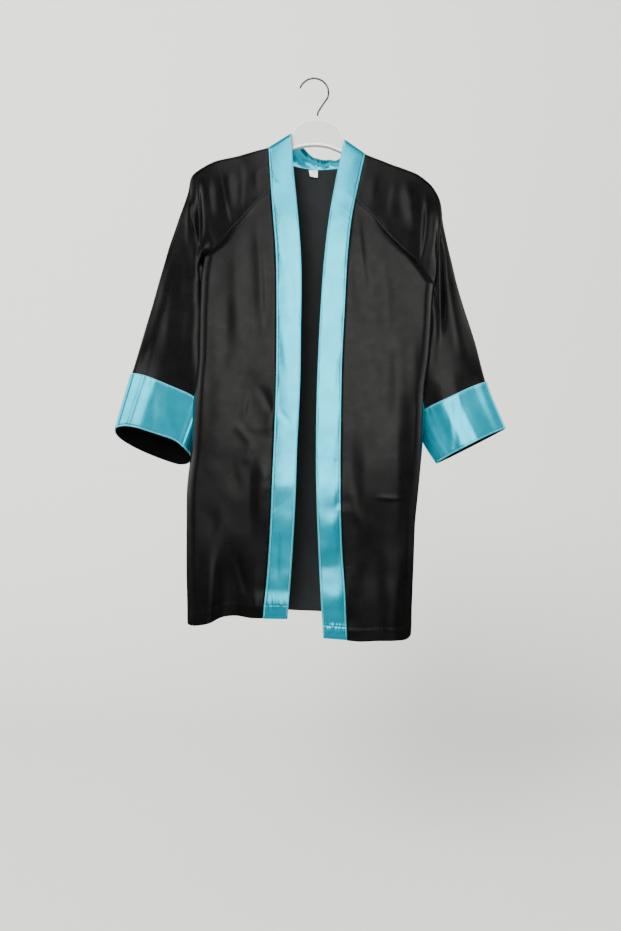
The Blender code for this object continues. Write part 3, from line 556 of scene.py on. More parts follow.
def unit(vectors):
    length = np.linalg.norm(vectors, axis=-1, keepdims=True)
    return vectors / np.maximum(length, 1e-12)


def normals_of(grid, flipped):
    out = unit(np.cross(np.gradient(grid, axis=0), np.gradient(grid, axis=1)))
    return -out if flipped else out


def distances(grid, axis):
    """Length along a grid's lines from their start."""
    steps = np.linalg.norm(np.diff(grid, axis=axis), axis=-1)
    pad = [(0, 0), (0, 0)]
    pad[axis] = (1, 0)
    return np.cumsum(np.pad(steps, pad), axis=axis)


def add_object(name, data, place=(0.0, 0.0, 0.0)):
    made = bpy.data.objects.new(name, data)
    made.location = place
    bpy.context.scene.collection.objects.link(made)
    return made


def add_mesh(name, points, faces, materials, indices=None):
    mesh = bpy.data.meshes.new(name)
    mesh.from_pydata([tuple(point) for point in points], [], [tuple(face) for face in faces])
    for material in materials:
        mesh.materials.append(material)
    if indices is not None:
        mesh.polygons.foreach_set("material_index", np.asarray(indices, np.int32))
    mesh.shade_smooth()
    return add_object(name, mesh)


def add_piece(*parts):
    """A mesh that is part of the object and hangs with it."""
    piece = add_mesh(*parts)
    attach(piece, "root")
    return piece


def tube_faces(rings, sides):
    """Faces of a closed tube whose points run round each ring in turn, with a cap at both ends."""
    faces = []
    for ring in range(rings - 1):
        for side in range(sides):
            a, b = ring * sides + side, ring * sides + (side + 1) % sides
            faces.append((a, b, b + sides, a + sides))
    faces.append(tuple(reversed(range(sides))))
    faces.append(tuple((rings - 1) * sides + side for side in range(sides)))
    return faces


def add_shell(name, grid, thickness, flipped, materials, edge_rows=0, edge_columns=0):
    """A thin closed cloth shell whose outer face is the grid, with rounded edges.

    The first material is the outer face's, the second the inner face's and, where some rows or
    columns by the edges are given, the third the folded edge's; the turquoise pieces give a paler
    copy of their satin there, a painted highlight along the rolled edge.
    """
    rows, columns = grid.shape[:2]
    out = normals_of(grid, flipped)
    inner = grid - out * thickness
    count = rows * columns
    index = np.arange(count).reshape(rows, columns)
    quads = np.stack((index[:-1, :-1], index[1:, :-1], index[1:, 1:], index[:-1, 1:]), axis=-1)
    quads = quads.reshape(-1, 4)
    front = quads[:, ::-1] if flipped else quads
    behind = (quads if flipped else quads[:, ::-1]) + count
    loop = np.concatenate((index[0, :-1], index[:-1, -1], index[-1, :0:-1], index[:0:-1, 0]))
    flat_grid, flat_inner = grid.reshape(-1, 3), inner.reshape(-1, 3)
    middle = 0.5 * (flat_grid[loop] + flat_inner[loop])
    around = np.roll(middle, -1, axis=0) - np.roll(middle, 1, axis=0)
    outward = unit(np.cross(around, out.reshape(-1, 3)[loop])) * (-1.0 if flipped else 1.0)
    middle = middle - outward * 0.5 * thickness
    rim = 2 * count + np.arange(len(loop))
    after, rim_after = np.roll(loop, -1), np.roll(rim, -1)
    first = np.stack((loop, after, rim_after, rim), axis=-1)
    second = np.stack((rim, rim_after, after + count, loop + count), axis=-1)
    sides = np.concatenate((first, second))
    if flipped:
        sides = sides[:, ::-1]
    points = np.concatenate((flat_grid, flat_inner, middle))
    faces = np.concatenate((front, behind, sides))
    indices = np.zeros(len(faces), np.int32)
    indices[len(front):len(front) + len(behind)] = min(1, len(materials) - 1)
    if edge_rows or edge_columns:
        edge = np.zeros((rows - 1, columns - 1), bool)
        edge[:edge_rows] = edge[rows - 1 - edge_rows:] = True
        edge[:, :edge_columns] = edge[:, columns - 1 - edge_columns:] = True
        indices[:len(front)] = np.where(edge.reshape(-1), 2, 0)
        indices[len(front) + len(behind):] = 2
    return add_piece(name, points, faces, materials, indices)


EVEN_SAMPLES = 600


def even(base, first, last, count, others):
    """Parameters from first to last that give rows of even spacing on a surface."""
    fine = np.linspace(first, last, EVEN_SAMPLES)
    steps = np.zeros(len(fine) - 1)
    for other in others:
        points = base(np.full_like(fine, other), fine)
        steps += np.linalg.norm(np.diff(points, axis=0), axis=-1)
    run = np.concatenate(([0.0], np.cumsum(steps)))
    return np.interp(np.linspace(0.0, run[-1], count), run, fine)


def stepped(*spans):
    """Shares from 0 to 1, in spans that each have an end and a number of even steps."""
    shares, start = [0.0], 0.0
    for end, steps in spans:
        shares.extend(np.linspace(start, end, steps + 1)[1:])
        start = end
    return np.array(shares)


def closer(values, first, last, parts):
    """The values with each step from the first to the last of these indices cut into parts."""
    steps = np.diff(values[first:last])
    added = [values[first:last][:-1] + steps * part / parts for part in range(1, parts)]
    return np.sort(np.concatenate([values] + added))


# Distances of a strip's outermost columns from its edges.
EDGE_LEAD = (0.0, 0.0005, 0.0010, 0.0014, 0.0018, 0.0022, 0.0028, 0.0037, 0.0050)


def near_edges(width, middle_step):
    """Shares across a strip, close together by both edges, in a strip this wide."""
    lead = np.array(EDGE_LEAD)
    count = max(2, int(round((width - 2.0 * lead[-1]) / middle_step)))
    middle = np.linspace(lead[-1], width - lead[-1], count + 1)
    return np.concatenate((lead[:-1], middle, width - lead[-2::-1])) / width


Laid = namedtuple("Laid", "grid across down x z width run")


def laid_out(base, shares, downs):
    """A surface's grid over these shares across and these places down it, with its measures."""
    across, down = np.meshgrid(shares, downs)
    grid = base(across, down)
    width = np.linalg.norm(grid[:, -1] - grid[:, 0], axis=-1)[:, None]
    return Laid(grid, across, down, grid[..., 0], grid[..., 2], width, distances(grid, 0))


def add_cloth(name, grid, out, thickness, flipped, materials, **edges):
    """The shell of a grid that is lifted out along its normals, and the lifted grid."""
    grid = grid + normals_of(grid, flipped) * out[..., None]
    return add_shell(name, grid, thickness, flipped, materials, **edges), grid


# Sizes of the sewing.

SHELL = 0.0008
BAND_SHELL = 0.0014
LABEL_SHELL = 0.0007
HEM_ALLOWANCE = 0.0215
# Seams' dips: depth and width.
BAND_SEAM_DIP = (0.0009, 0.0022)
RAGLAN_DIP = (0.00032, 0.0014)
NECK_DIP = (0.0006, 0.0020)
HEM_DIP = (0.00028, 0.0010)
# The bands' hems: height of the stitch line, its dip, the gathers by it, how much of the hem's
# step shows, and the slant of the gathers.
BAND_HEMS = {"right": 0.0215, "left": 0.0205}
BAND_HEM_DIPS = {"right": 0.00022, "left": 0.00035}
BAND_HEM_DIP_WIDTH = 0.0011
BAND_HEM_GATHERS = {"right": 0.00036, "left": 0.00042}
BAND_HEM_STEPS = {"right": 0.0, "left": 0.4}
BAND_HEM_SLANT = 0.2
# Gathers by a band's hem stitches: share of the height, reach, spacing and share of the phase.
BAND_HEM_PUCKERS = ((1.0, 0.006, 0.0072, 1.0), (0.9, 0.0022, 0.0041, 2.0))
HEM_STEP = 0.00025
HEM_STEP_HALF = 0.001
BAND_LEVELLING = 0.0010
# The left band's top is levelled further, above this height.
LEFT_LEVELLING = 0.0013
LEFT_LEVELLING_BLEND = (-0.34, 0.06)
LEFT_LEVELLING_TOP, LEFT_LEVELLING_SEAM = 0.02, 0.004
# Pressed edges: the stitch line's place, dip and width, and how far the edge rolls under.
PRESS = {"band": (0.0020, 0.00018, 0.0006, 0.0005), "cuff": (0.0022, 0.00022, 0.0008, 0.0004)}
PRESS_ROLL = 0.0012
CUFF_OUT = DOUBLED_SATIN + SEAM_GAP
# Creases and unevenness fade out this near a seam.
SEAM_FADE = 0.008
SLEEVE_SEAM_FADE = 0.010
SLEEVE_RIDGE_FADE = 0.2
BAND_FADE = 0.006
BAND_END_FADE = 0.01
NECK_END_FADE = 0.012
# Lengths run a little shorter square to the raglan seam than across the panel.
RAGLAN_SLANT = 0.75
RAGLAN_END, RAGLAN_END_FADE = 1.02, 0.04
# Shares of the unevenness, and where its pattern starts on a sleeve's front and on the bands.
CUFF_UNEVEN, NECK_UNEVEN = 0.4, 0.5
SLEEVE_WAVE_SHIFT, BAND_WAVE_SHIFT = 0.3, 0.11

# Gathers by each seam: height, reach and spacing.
GATHERS = {
    "front_raglan": (0.00008, 0.009, 0.0105),
    "front_band": (0.00016, 0.007, 0.0090),
    "back_raglan": (0.00014, 0.009, 0.0105),
    "back_neck": (0.00030, 0.012, 0.0080),
    "sleeve_raglan": (0.00009, 0.010, 0.0110),
    "hem": (0.00022, 0.008, 0.0085),
    "cuff": (0.00012, 0.010, 0.0125),
    "band": (0.00010, 0.006, 0.0090),
    "neck": (0.00028, 0.007, 0.0062),
}
# Where the gathers start, for the right piece and the left one.
PHASES = {"front": (0.7, 2.2), "sleeve": (1.1, 2.8), "cuff": (0.5, 1.9), "band": (0.3, 1.6)}
BACK_RAGLAN_PHASE, BACK_NECK_PHASE, BACK_HEM_PHASE, NECK_PHASE = 1.3, 0.4, 0.9, 1.2

# The meshes' rows and columns.
FRONT_SHARES = stepped((0.08, 11), (0.94, 52), (1.0, 10))
BACK_SHARES = stepped((0.05, 8), (0.95, 104), (1.0, 8))
FRONT_ROWS, BACK_ROWS, SLEEVE_ROWS, BAND_ROWS, NECK_ROWS = 310, 240, 240, 400, 150
SLEEVE_STEPS, CUFF_STEPS = 37, 67
CUFF_ROWS = 44
CUFF_EDGE_SHARES = (0.0, 0.006, 0.012, 0.018, 0.026, 0.036)
CUFF_MIDDLE_START, CUFF_MIDDLE_END = 0.05, 0.9935
BAND_SHARES = near_edges(0.040, 0.0012)
NECK_SHARES = near_edges(0.032, 0.0020)
# The rows of a band that are closer, round the hem's stitch line.
BAND_CLOSER = (-16, -7, 4)

# Creases have Crease's columns and swells Swell's, in millimetres.
FRONT_CREASES = both(Crease, (
    (-90, -506, -61, -560, 1, 9, 6, -1.1), (-120, -572, -54, -575.5, 2, 20, 10.5, 1.2),
    (-106, -512, -115, -570, -1, 3.5, 6, 0.7), (-130, -564, -93, -608, 1, 5, 8, 1),
    (-95, -598, -110, -640, 2, 6, 9, 0.7), (-86, -638, -70, -662, 1, 7, 9, 0.6),
    (-135, -600, -115, -690, 4, 10, 16, -0.8), (-88, -610, -80, -700, -3, 9, 10, 0.5),
    (-177, -285, -178, -640, 2, 10, 6, 1), (-95, -225, -83, -440, -3, 5, 9, 1.1),
    (-124, -262, -118, -480, 3, 12, 10, 0.8), (-143, -330, -148, -520, -4, 10, 14, -0.8),
    (-127, -765, -101, -860, 2, 6, 5, -0.9), (-145, -690, -150, -800, 2, 10, 9, 0.6),
    (-160, -790, -157, -905, 0, 5, 9, 0.5), (-92, -790, -88, -890, 1, 8, 7, 0.5),
), (
    (93, -687, 148, -689.5, 1, 4, 3, 0.6), (70, -220, 88, -385, 3, 6, 9, 1),
    (105, -270, 118, -470, -4, 10, 14, 0.9), (138, -360, 135, -620, 4, 15, 11, 1),
    (90, -430, 80, -640, 3, 11, 13, -0.7), (162, -420, 154, -560, -2, 8, 10, 0.8),
    (56, -660, 72, -735, 2, 6, 8, 0.8), (62, -710, 84, -860, -3, 10, 8, -0.7),
    (120, -730, 116, -880, 3, 10, 14, 0.7), (146, -800, 142, -925, 1, 7, 8, -0.8),
))
SLEEVE_CREASES = both(Crease, (
    (-189, -162, -183, -292, 2.5, 4, 3.5, -3.2), (-179, -160, -173, -272, 3, 3.4, 5, 1.2),
    (-156, -150, -133, -262, 1.5, 3.5, 11, 1.1), (-118, -140, -119, -232, -1.5, 4, 8, 0.6),
    (-94, -150, -91, -200, 1, 5, 5, 0.4), (-205, -190, -204, -290, 2, 5, 4, 1),
    (-211, -230, -220, -400, 3, 9, 11, 0.9), (-238, -330, -260, -470, -2, 8, 12, 0.8),
    (-196, -360, -210, -480, 3, 8, 10, -0.8), (-225, -420, -250, -505, 3, 7, 10, -0.6),
), (
    (182, -185, 169, -330, -4.5, 7, 3.4, 1.7), (199, -220, 190, -300, -2, 5, 3.5, 1.3),
    (135, -165, 124, -245, 2, 10, 6, 0.7), (100, -160, 93, -215, 1, 6, 7, 0.4),
    (203, -215, 206, -450, -3, 6, 5, -4.4), (222, -330, 230, -480, 2, 9, 12, 1),
    (245, -420, 260, -520, -2, 8, 10, 0.7), (205, -420, 215, -510, 3, 8, 10, -0.8),
))
SLEEVE_BACK_CREASES = both(Crease, (
    (-190, -170, -177, -300, 3, 6, 9, 1.6), (-150, -165, -138, -230, 2, 5, 8, 1.1),
    (-205, -300, -228, -450, 4, 8, 6, 1.3), (-235, -380, -260, -500, -3, 6, 9, -1),
    (-190, -380, -202, -500, 2, 7, 6, 0.96),
), (
    (202, -220, 188, -340, -3, 6, 8, 1.6), (150, -180, 140, -260, 2, 6, 6, 1.1),
    (215, -320, 225, -470, 3, 7, 9, 1.2), (240, -400, 260, -520, -3, 6, 8, -1),
    (195, -420, 200, -540, 2, 6, 8, 0.96),
))
CUFF_CREASES = both(Crease, (
    (-242, -530, -218, -600, 4, 7, 13, -0.35), (-260, -510, -264, -600, 2, 7, 7, 0.2),
), (
    (238, -500, 241, -660, 1.5, 4, 4, 0.2), (224, -500, 228, -650, 1, 4, 6, 0.3),
))
BAND_CREASES = both(Crease, (
    (-69, -172, -52, -190, 1, 4, 5, -0.25), (-60, -235, -48, -330, 2, 5, 7, 0.4),
    (-38, -300, -30, -420, 1, 6, 5, -0.3), (-50, -405, -40, -500, 2, 6, 6, 0.3),
    (-58, -545, -33, -575, 1, 5, 6, -0.3), (-56, -740, -60, -830, 1, 5, 7, -0.4),
), (
    (56, -250, 38, -340, 2, 6, 5, 0.4), (25, -330, 20, -430, 1, 5, 7, -0.3),
    (40, -440, 28, -540, 2, 6, 6, 0.3), (26, -629, 68, -632, 1, 3, 3.5, -0.2),
    (38, -560, 26, -660, 1, 6, 5, 0.3), (30, -700, 33, -800, 2, 8, 8, 0.9),
))
BACK_CREASES = metres((
    (-135, -260, -120, -470, 5, 8, 12, 1.7), (-80, -230, -90, -400, -4, 10, 7, 1.4),
    (-20, -190, -10, -330, 3, 9, 9, 1.1), (45, -210, 30, -390, 4, 7, 11, -1.2),
    (98, -250, 108, -450, -4, 11, 8, 1.6), (145, -340, 138, -560, 4, 8, 10, -1.4),
    (-165, -420, -160, -640, 3, 7, 11, 1.5), (-60, -480, -75, -700, 4, 11, 8, -1.4),
    (15, -520, 8, -760, -5, 9, 12, 1.5), (90, -600, 78, -820, 4, 8, 7, 1.3),
    (-145, -700, -140, -860, 2, 6, 9, 1.6), (-105, -690, -45, -693, 1, 5, 6, 1),
    (45, -688, 115, -690, 1, 6, 5, 1), (125, -720, 130, -860, -2, 8, 6, -1.3),
), Crease)
NECK_CREASES = metres((
    (15, -110, 16.5, -150, 0, 2, 2, 1.4), (4, -110, 6, -148, 1, 5, 4, -1.6),
    (28, -110, 27, -148, 1, 5, 5, -1.6), (-30, -108, -2, -146, 1, 5, 3.5, 1.8),
    (-24, -124, -12, -142, 1, 3, 2.5, 1), (-8, -104, -2, -130, 1, 4, 3.5, -1.2),
), Crease)
FRONT_SWELLS = both(Swell, (
    (-615, -672, -800, -85, -30, 20, 2.6), (-832, -860, -879, -85, -30, 40, 2.1),
), (
    (-625, -690, -800, 0, 35, 40, 2.8), (-795, -860, -890, 0, 35, 40, 4),
    (-700, -770, -800, -10, 16, 16, 1.3), (-660, -695, -710, 38, 55, 8, -0.7),
    (-878, -902, -912, 0, 55, 20, 1.2), (-480, -660, -820, 85, 130, 30, 4.6),
))


def raglan_seam(key, from_seam, along, gather, phase):
    """The raglan seam's dip and gathers, down to where the key reaches 1, under the arm."""
    folds = groove(from_seam, *RAGLAN_DIP)
    folds = folds + puckers(from_seam, along, GATHERS[gather], phase)
    return folds * ease((RAGLAN_END - key) / RAGLAN_END_FADE)


def hem_step(from_hem, line):
    """The doubled cloth of the hem lifts the face below the stitch line."""
    return HEM_STEP * ease((line + HEM_STEP_HALF - from_hem) / (2.0 * HEM_STEP_HALF))


def hem_out(from_hem, along, phase):
    """The hem: folded up inside, held by a line of stitches that gathers the cloth a little."""
    from_stitch = from_hem - HEM_ALLOWANCE
    out = hem_step(from_hem, HEM_ALLOWANCE) + groove(from_stitch, *HEM_DIP)
    return out + puckers(np.abs(from_stitch), along, GATHERS["hem"], phase)


def pressed(from_edge, kind):
    """A pressed edge: it rolls under over a millimetre, outside a line of topstitching."""
    place, depth, width, roll = PRESS[kind]
    dip = groove(from_edge - place, depth, width)
    return dip - roll * (1.0 - quarter(from_edge / PRESS_ROLL))


def add_front(word, side, materials):
    base = partial(front_base, side)
    downs = even(base, 0.02, 2.0, FRONT_ROWS, (0.0, 0.5, 1.0))
    grid, across, down, x, z, width, run = laid_out(base, FRONT_SHARES, downs)
    from_side, from_band = across * width, (1.0 - across) * width
    phase = PHASES["front"][side.sign > 0]
    fade = ease(from_band / SEAM_FADE) * np.where(down < 1.0, ease(from_side / SEAM_FADE), 1.0)
    out = (crease_out(FRONT_CREASES[word], x, z) + uneven(x, z, WAVES_FRONT)) * fade
    out += raglan_seam(down, RAGLAN_SLANT * from_side, run[:, :1], "front_raglan", phase)
    out += swell_out(FRONT_SWELLS[word], x, z)
    out += groove(from_band, *BAND_SEAM_DIP)
    out += puckers(from_band, run[:, -1:], GATHERS["front_band"], phase + 1.0)
    out += hem_out(run[-1] - run, x, phase)
    return add_cloth("gown_front_" + word, grid, out, SHELL, side.sign > 0, materials)


def add_back(materials):
    downs = even(back_base, 0.0, 2.0, BACK_ROWS, (0.0, 0.5, 1.0))
    grid, across, down, x, z, width, run = laid_out(back_base, BACK_SHARES, downs)
    from_side = np.minimum(across, 1.0 - across) * width
    fade = np.where(down < 1.0, ease(from_side / SEAM_FADE), 1.0) * ease(run / SEAM_FADE)
    out = (crease_out(BACK_CREASES, x, z) + uneven(x, z, WAVES_BACK)) * fade
    slanted = RAGLAN_SLANT * from_side
    out += raglan_seam(down, slanted, run[:, :1], "back_raglan", BACK_RAGLAN_PHASE)
    out += puckers(run, x, GATHERS["back_neck"], BACK_NECK_PHASE)
    out += hem_out(run[-1] - run, x, BACK_HEM_PHASE)
    return add_cloth("gown_back", grid, out, SHELL, True, materials)


def tube_shares(steps):
    """Shares round a sleeve, from the front seam over the ridge to the seam behind."""
    wall = stepped((0.12, 8), (0.90, steps), (1.0, 8))
    return np.concatenate((-wall[::-1], wall[1:]))


def add_sleeve(word, side, materials):
    base = partial(sleeve_base, side)
    alongs = even(base, 0.0, 1.0, SLEEVE_ROWS, (-1.0, -0.5, -0.01, 0.5))
    grid, across, along, x, z, _, run = laid_out(base, tube_shares(SLEEVE_STEPS), alongs)
    around = distances(grid, 1)
    to_seam = np.minimum(around, around[:, -1:] - around)
    keys = [row[0] for row in side.stations]
    key = smooth(np.linspace(0, 1, len(keys)), keys, along)
    front = across < 0
    in_front = crease_out(SLEEVE_CREASES[word], x, z)
    out = np.where(front, in_front, crease_out(SLEEVE_BACK_CREASES[word], x, z))
    out = out * ease(np.abs(across) / SLEEVE_RIDGE_FADE)
    out += uneven(x + SLEEVE_WAVE_SHIFT * front, z, WAVES_SLEEVE)
    out = out * ease(to_seam / SLEEVE_SEAM_FADE) * ease(run / SEAM_FADE)
    seam_run = np.where(front, run[:, :1], run[:, -1:])
    out += raglan_seam(key, to_seam, seam_run, "sleeve_raglan", PHASES["sleeve"][side.sign > 0])
    out += groove(run, *NECK_DIP) * (along < 0.5)
    return add_cloth("gown_sleeve_" + word, grid, out, SHELL, side.sign < 0, materials)


def add_cuff(word, side, materials):
    deep = 1.0 - CUFF_START
    edge = deep * np.array(CUFF_EDGE_SHARES)
    middle = np.linspace(CUFF_START + CUFF_MIDDLE_START * deep, CUFF_MIDDLE_END, CUFF_ROWS)
    alongs = np.concatenate((CUFF_START + edge, middle, 1.0 - edge[::-1]))
    across, along = np.meshgrid(tube_shares(CUFF_STEPS), alongs)
    grid = sleeve_base(side, across, along)
    grid = grid + normals_of(grid, side.sign < 0) * CUFF_OUT
    x, z = grid[..., 0], grid[..., 2]
    run = distances(grid, 0)
    edge = np.minimum(run, run[-1] - run)
    out = np.where(across < 0, crease_out(CUFF_CREASES[word], x, z), 0.0)
    out += uneven(x, z, WAVES_BAND) * CUFF_UNEVEN
    out = out * ease(edge / BAND_FADE) + pressed(edge, "cuff")
    out += puckers(run, distances(grid, 1), GATHERS["cuff"], PHASES["cuff"][side.sign > 0])
    flipped = side.sign < 0
    return add_cloth("gown_cuff_" + word, grid, out, BAND_SHELL, flipped, materials, edge_rows=1)


def add_band(word, side, materials):
    base = partial(band_base, side)
    downs = closer(even(base, 0.0, 1.0, BAND_ROWS, (0.0, 0.5, 1.0)), *BAND_CLOSER)
    grid, across, down, x, z, width, run = laid_out(base, BAND_SHARES, downs)
    from_seam, from_edge = across * width, (1.0 - across) * width
    from_hem = run[-1] - run
    near = np.minimum(from_seam, from_edge)
    phase = PHASES["band"][side.sign > 0]
    out = uneven(x + BAND_WAVE_SHIFT * side.sign, z, WAVES_BAND)
    out += crease_out(BAND_CREASES[word], x, z)
    out = out * ease(near / BAND_FADE) * ease(from_hem / BAND_END_FADE) * ease(run / BAND_END_FADE)
    out += swell_out(FRONT_SWELLS[word], x, z)
    out += BAND_LEVELLING * (1.0 - across) * ease(down / BAND_NECK_SHARE)
    if side.sign > 0:
        levelled = (1.0 - across) * after(z, LEFT_LEVELLING_BLEND)
        levelled *= ease(run / LEFT_LEVELLING_TOP) * ease(from_seam / LEFT_LEVELLING_SEAM)
        out += LEFT_LEVELLING * levelled
    out += pressed(near, "band")
    out += puckers(from_seam, run, GATHERS["band"], phase)
    stitch = BAND_HEMS[word]
    out += BAND_HEM_STEPS[word] * hem_step(from_hem, stitch)
    out += groove(from_hem - stitch, BAND_HEM_DIPS[word], BAND_HEM_DIP_WIDTH)
    slanted, from_stitch = from_seam + BAND_HEM_SLANT * from_hem, np.abs(from_hem - stitch)
    for share, reach, spacing, shift in BAND_HEM_PUCKERS:
        gather = (share * BAND_HEM_GATHERS[word], reach, spacing)
        out += puckers(from_stitch, slanted, gather, shift * phase)
    flipped = side.sign > 0
    return add_cloth("gown_band_" + word, grid, out, BAND_SHELL, flipped, materials, edge_columns=1)


def add_neck_band(materials):
    arounds = even(neck_base, 0.0, 1.0, NECK_ROWS, (0.0, 0.5, 1.0))
    grid, across, _, x, z, width, run = laid_out(neck_base, NECK_SHARES, arounds)
    from_seam, from_edge = across * width, (1.0 - across) * width
    near = np.minimum(from_seam, from_edge)
    ends = inside(run, NECK_END_FADE, run[-1])
    out = NECK_UNEVEN * uneven(x, z, WAVES_BAND) - crease_out(NECK_CREASES, x, z)
    out = out * ease(near / BAND_FADE) * ends + pressed(near, "band")
    out += puckers(from_seam, run, GATHERS["neck"], NECK_PHASE) * ends
    return add_cloth("gown_band_neck", grid, out, BAND_SHELL, False, materials, edge_columns=1)


# The label: its top's middle and size, its mesh, and how it hangs out of true.
LABEL_X, LABEL_Z = -0.0011, -0.1425
LABEL_HALF_WIDE, LABEL_HIGH = 0.0072, 0.0110
LABEL_COLUMNS, LABEL_ROWS = 24, 18
LABEL_SLANT = 0.0011
LABEL_SKEW = 0.12
LABEL_NARROWING = 0.0010
LABEL_SAG = 0.0006
LABEL_CURL = 0.0009
LABEL_RIPPLE = 0.0002
LABEL_OFF = 0.9
# Rough size of the back behind the label, by which its place there is found in steps.
SEARCH_STEPS, SEARCH_HIGH = 20, 0.25
SEARCH_WIDE = LEFT.raglan_back[0][0] - RIGHT.raglan_back[0][0]


def add_label(material):
    """The label: it hangs a little aslant before the back, narrower and curled at its end."""
    xs = LABEL_X + np.linspace(-LABEL_HALF_WIDE, LABEL_HALF_WIDE, LABEL_COLUMNS + 1)
    zs = LABEL_Z - np.linspace(0.0, LABEL_HIGH, LABEL_ROWS + 1)
    x, z = np.meshgrid(xs, zs)
    hang = (LABEL_Z - z) / LABEL_HIGH
    narrower = LABEL_NARROWING * hang * (x - LABEL_X) / LABEL_HALF_WIDE
    x = x + LABEL_SLANT * hang * (1.0 - LABEL_SKEW * np.sign(x)) - narrower
    z = z - LABEL_SAG * np.sin(2.1 * (x - LABEL_X) / LABEL_HALF_WIDE) * hang
    across, down = np.full_like(x, 0.5), np.full_like(x, 0.1)
    for _ in range(SEARCH_STEPS):
        point = back_base(across, down)
        across = across + (x - point[..., 0]) / SEARCH_WIDE
        down = down + (point[..., 2] - z) / SEARCH_HIGH
    grid = back_base(across, down)
    share_x = (x - xs[0]) / (xs[-1] - xs[0])
    share_z = (LABEL_Z - z) / LABEL_HIGH
    curl = LABEL_CURL * share_z ** 2 * (1.0 + 0.8 * np.sin(5.0 * share_x + 0.6))
    curl += LABEL_RIPPLE * np.sin(9.0 * share_x) * share_z
    grid[..., 1] -= SATIN + LABEL_FORWARD * LABEL_OFF + curl
    return add_shell("gown_label", grid, LABEL_SHELL, False, [material]), grid


# Stitches: short rounded thread pieces laid along a line on a cloth piece, all in one mesh.

Seam = namedtuple("Seam", "grid flipped axis distance from_end start stop")
THREAD = 0.00024
STITCH = 0.0025
STITCH_PITCH = 0.0031
STITCH_SLANT = 0.10
THREAD_SIDES = 5
# Rings along a stitch: place in its length, and girth.
THREAD_RINGS = ((-0.50, 0.25), (-0.38, 0.95), (0.00, 1.10), (0.38, 0.95), (0.50, 0.25))


def columns_at(places, run, line):
    """Every column of a line's rows, read at these places along it."""
    return np.stack([np.interp(places, run, column) for column in line.T], axis=-1)


def line_on(seam):
    """Points and outward directions on a line that keeps a distance from one side of a grid.

    Axis 1 gives a line that runs down the grid, at a distance from its first or last column.
    """
    fields = np.concatenate((seam.grid, normals_of(seam.grid, seam.flipped)), axis=-1)
    if seam.axis == 0:
        fields = np.swapaxes(fields, 0, 1)
    if seam.from_end:
        fields = fields[:, ::-1]
    runs = distances(fields[..., :3], 1)
    return np.array([columns_at(seam.distance, run, field) for run, field in zip(runs, fields)])


def add_stitches(name, seams, material):
    centres, aheads, ups = [], [], []
    for seam in seams:
        line = line_on(seam)
        steps = np.linalg.norm(np.diff(line[:, :3], axis=0), axis=-1)
        run = np.concatenate(([0.0], np.cumsum(steps)))
        end = run[-1] - seam.stop - STITCH_PITCH
        places = np.arange(seam.start + STITCH_PITCH, end, STITCH_PITCH)
        at = columns_at(places, run, line)
        after = columns_at(places + 0.3 * STITCH, run, line[:, :3])
        centres.append(at[:, :3])
        aheads.append(unit(after - at[:, :3]))
        ups.append(at[:, 3:])
    centre, ahead, up = np.concatenate(centres), np.concatenate(aheads), np.concatenate(ups)
    up = unit(up - ahead * np.sum(up * ahead, axis=-1, keepdims=True))
    aside = np.cross(ahead, up)
    slant = (STITCH_SLANT * np.sin(2.4 * np.arange(len(centre))))[:, None]
    angles = 2.0 * math.pi * np.arange(THREAD_SIDES)[:, None] / THREAD_SIDES
    offset = aside[:, None] * np.cos(angles) + up[:, None] * np.sin(angles)
    rings = []
    for place, girth in THREAD_RINGS:
        middle = centre + (ahead + aside * slant) * place * STITCH
        middle = middle + up * THREAD * (0.80 - 3.2 * place * place)
        rings.append(middle[:, None] + offset * THREAD * girth)
    points = np.stack(rings, axis=1).reshape(-1, 3)
    one = [face[:1] + face[:0:-1] for face in tube_faces(len(THREAD_RINGS), THREAD_SIDES)]
    faces = []
    for start in range(0, len(points), len(THREAD_RINGS) * THREAD_SIDES):
        faces += [tuple(start + corner for corner in face) for face in one]
    return add_piece(name, points, faces, [material])


# Materials.


def node(tree, kind, links=(), **settings):
    """A shader node with sockets or properties set, and (socket, output) pairs joined to it."""
    made = tree.nodes.new("ShaderNode" + kind)
    for key, value in settings.items():
        socket = key.replace("_", " ")
        if socket in made.inputs:
            made.inputs[socket].default_value = value
        else:
            setattr(made, key, value)
    for socket, output in links:
        tree.links.new(output, made.inputs[socket])
    return made


def shader_material(finish):
    material = bpy.data.materials.new(finish.name)
    material.use_nodes = True
    shader = material.node_tree.nodes["Principled BSDF"]
    shader.inputs["Base Color"].default_value = (*finish.dark, 1.0)
    shader.inputs["Roughness"].default_value = finish.roughness[0]
    for socket, value in finish.sockets.items():
        shader.inputs[socket].default_value = value
    return material, material.node_tree, shader


def noise(tree, place, scale, detail=3.0, roughness=0.5):
    settings = {"Scale": scale, "Detail": detail, "Roughness": roughness}
    return node(tree, "TexNoise", [("Vector", place)], **settings).outputs["Fac"]


def mapped(tree, value, low, high, from_low=0.3, from_high=0.7):
    made = node(
        tree, "MapRange", [("Value", value)],
        From_Min=from_low, From_Max=from_high, To_Min=low, To_Max=high,
    )
    return made.outputs["Result"]


# A wave texture of scale 1 repeats after this length.
WAVE_SCALE = 0.314


def weave(tree, place, pitch_x, pitch_z):
    """Threads that cross: two wave textures, the length-wise one stronger, as in satin."""
    waves = []
    for direction, pitch, distortion in (("X", pitch_x, 0.6), ("Z", pitch_z, 0.9)):
        wave = node(
            tree, "TexWave", [("Vector", place)], bands_direction=direction, wave_type="BANDS",
            Scale=WAVE_SCALE / pitch, Distortion=distortion, Detail=1.0, Detail_Scale=2.0,
        )
        waves.append(wave.outputs["Fac"])
    joined = node(tree, "Math", [(0, waves[1]), (2, waves[0])], operation="MULTIPLY_ADD")
    joined.inputs[1].default_value = 0.4
    return joined.outputs["Value"]


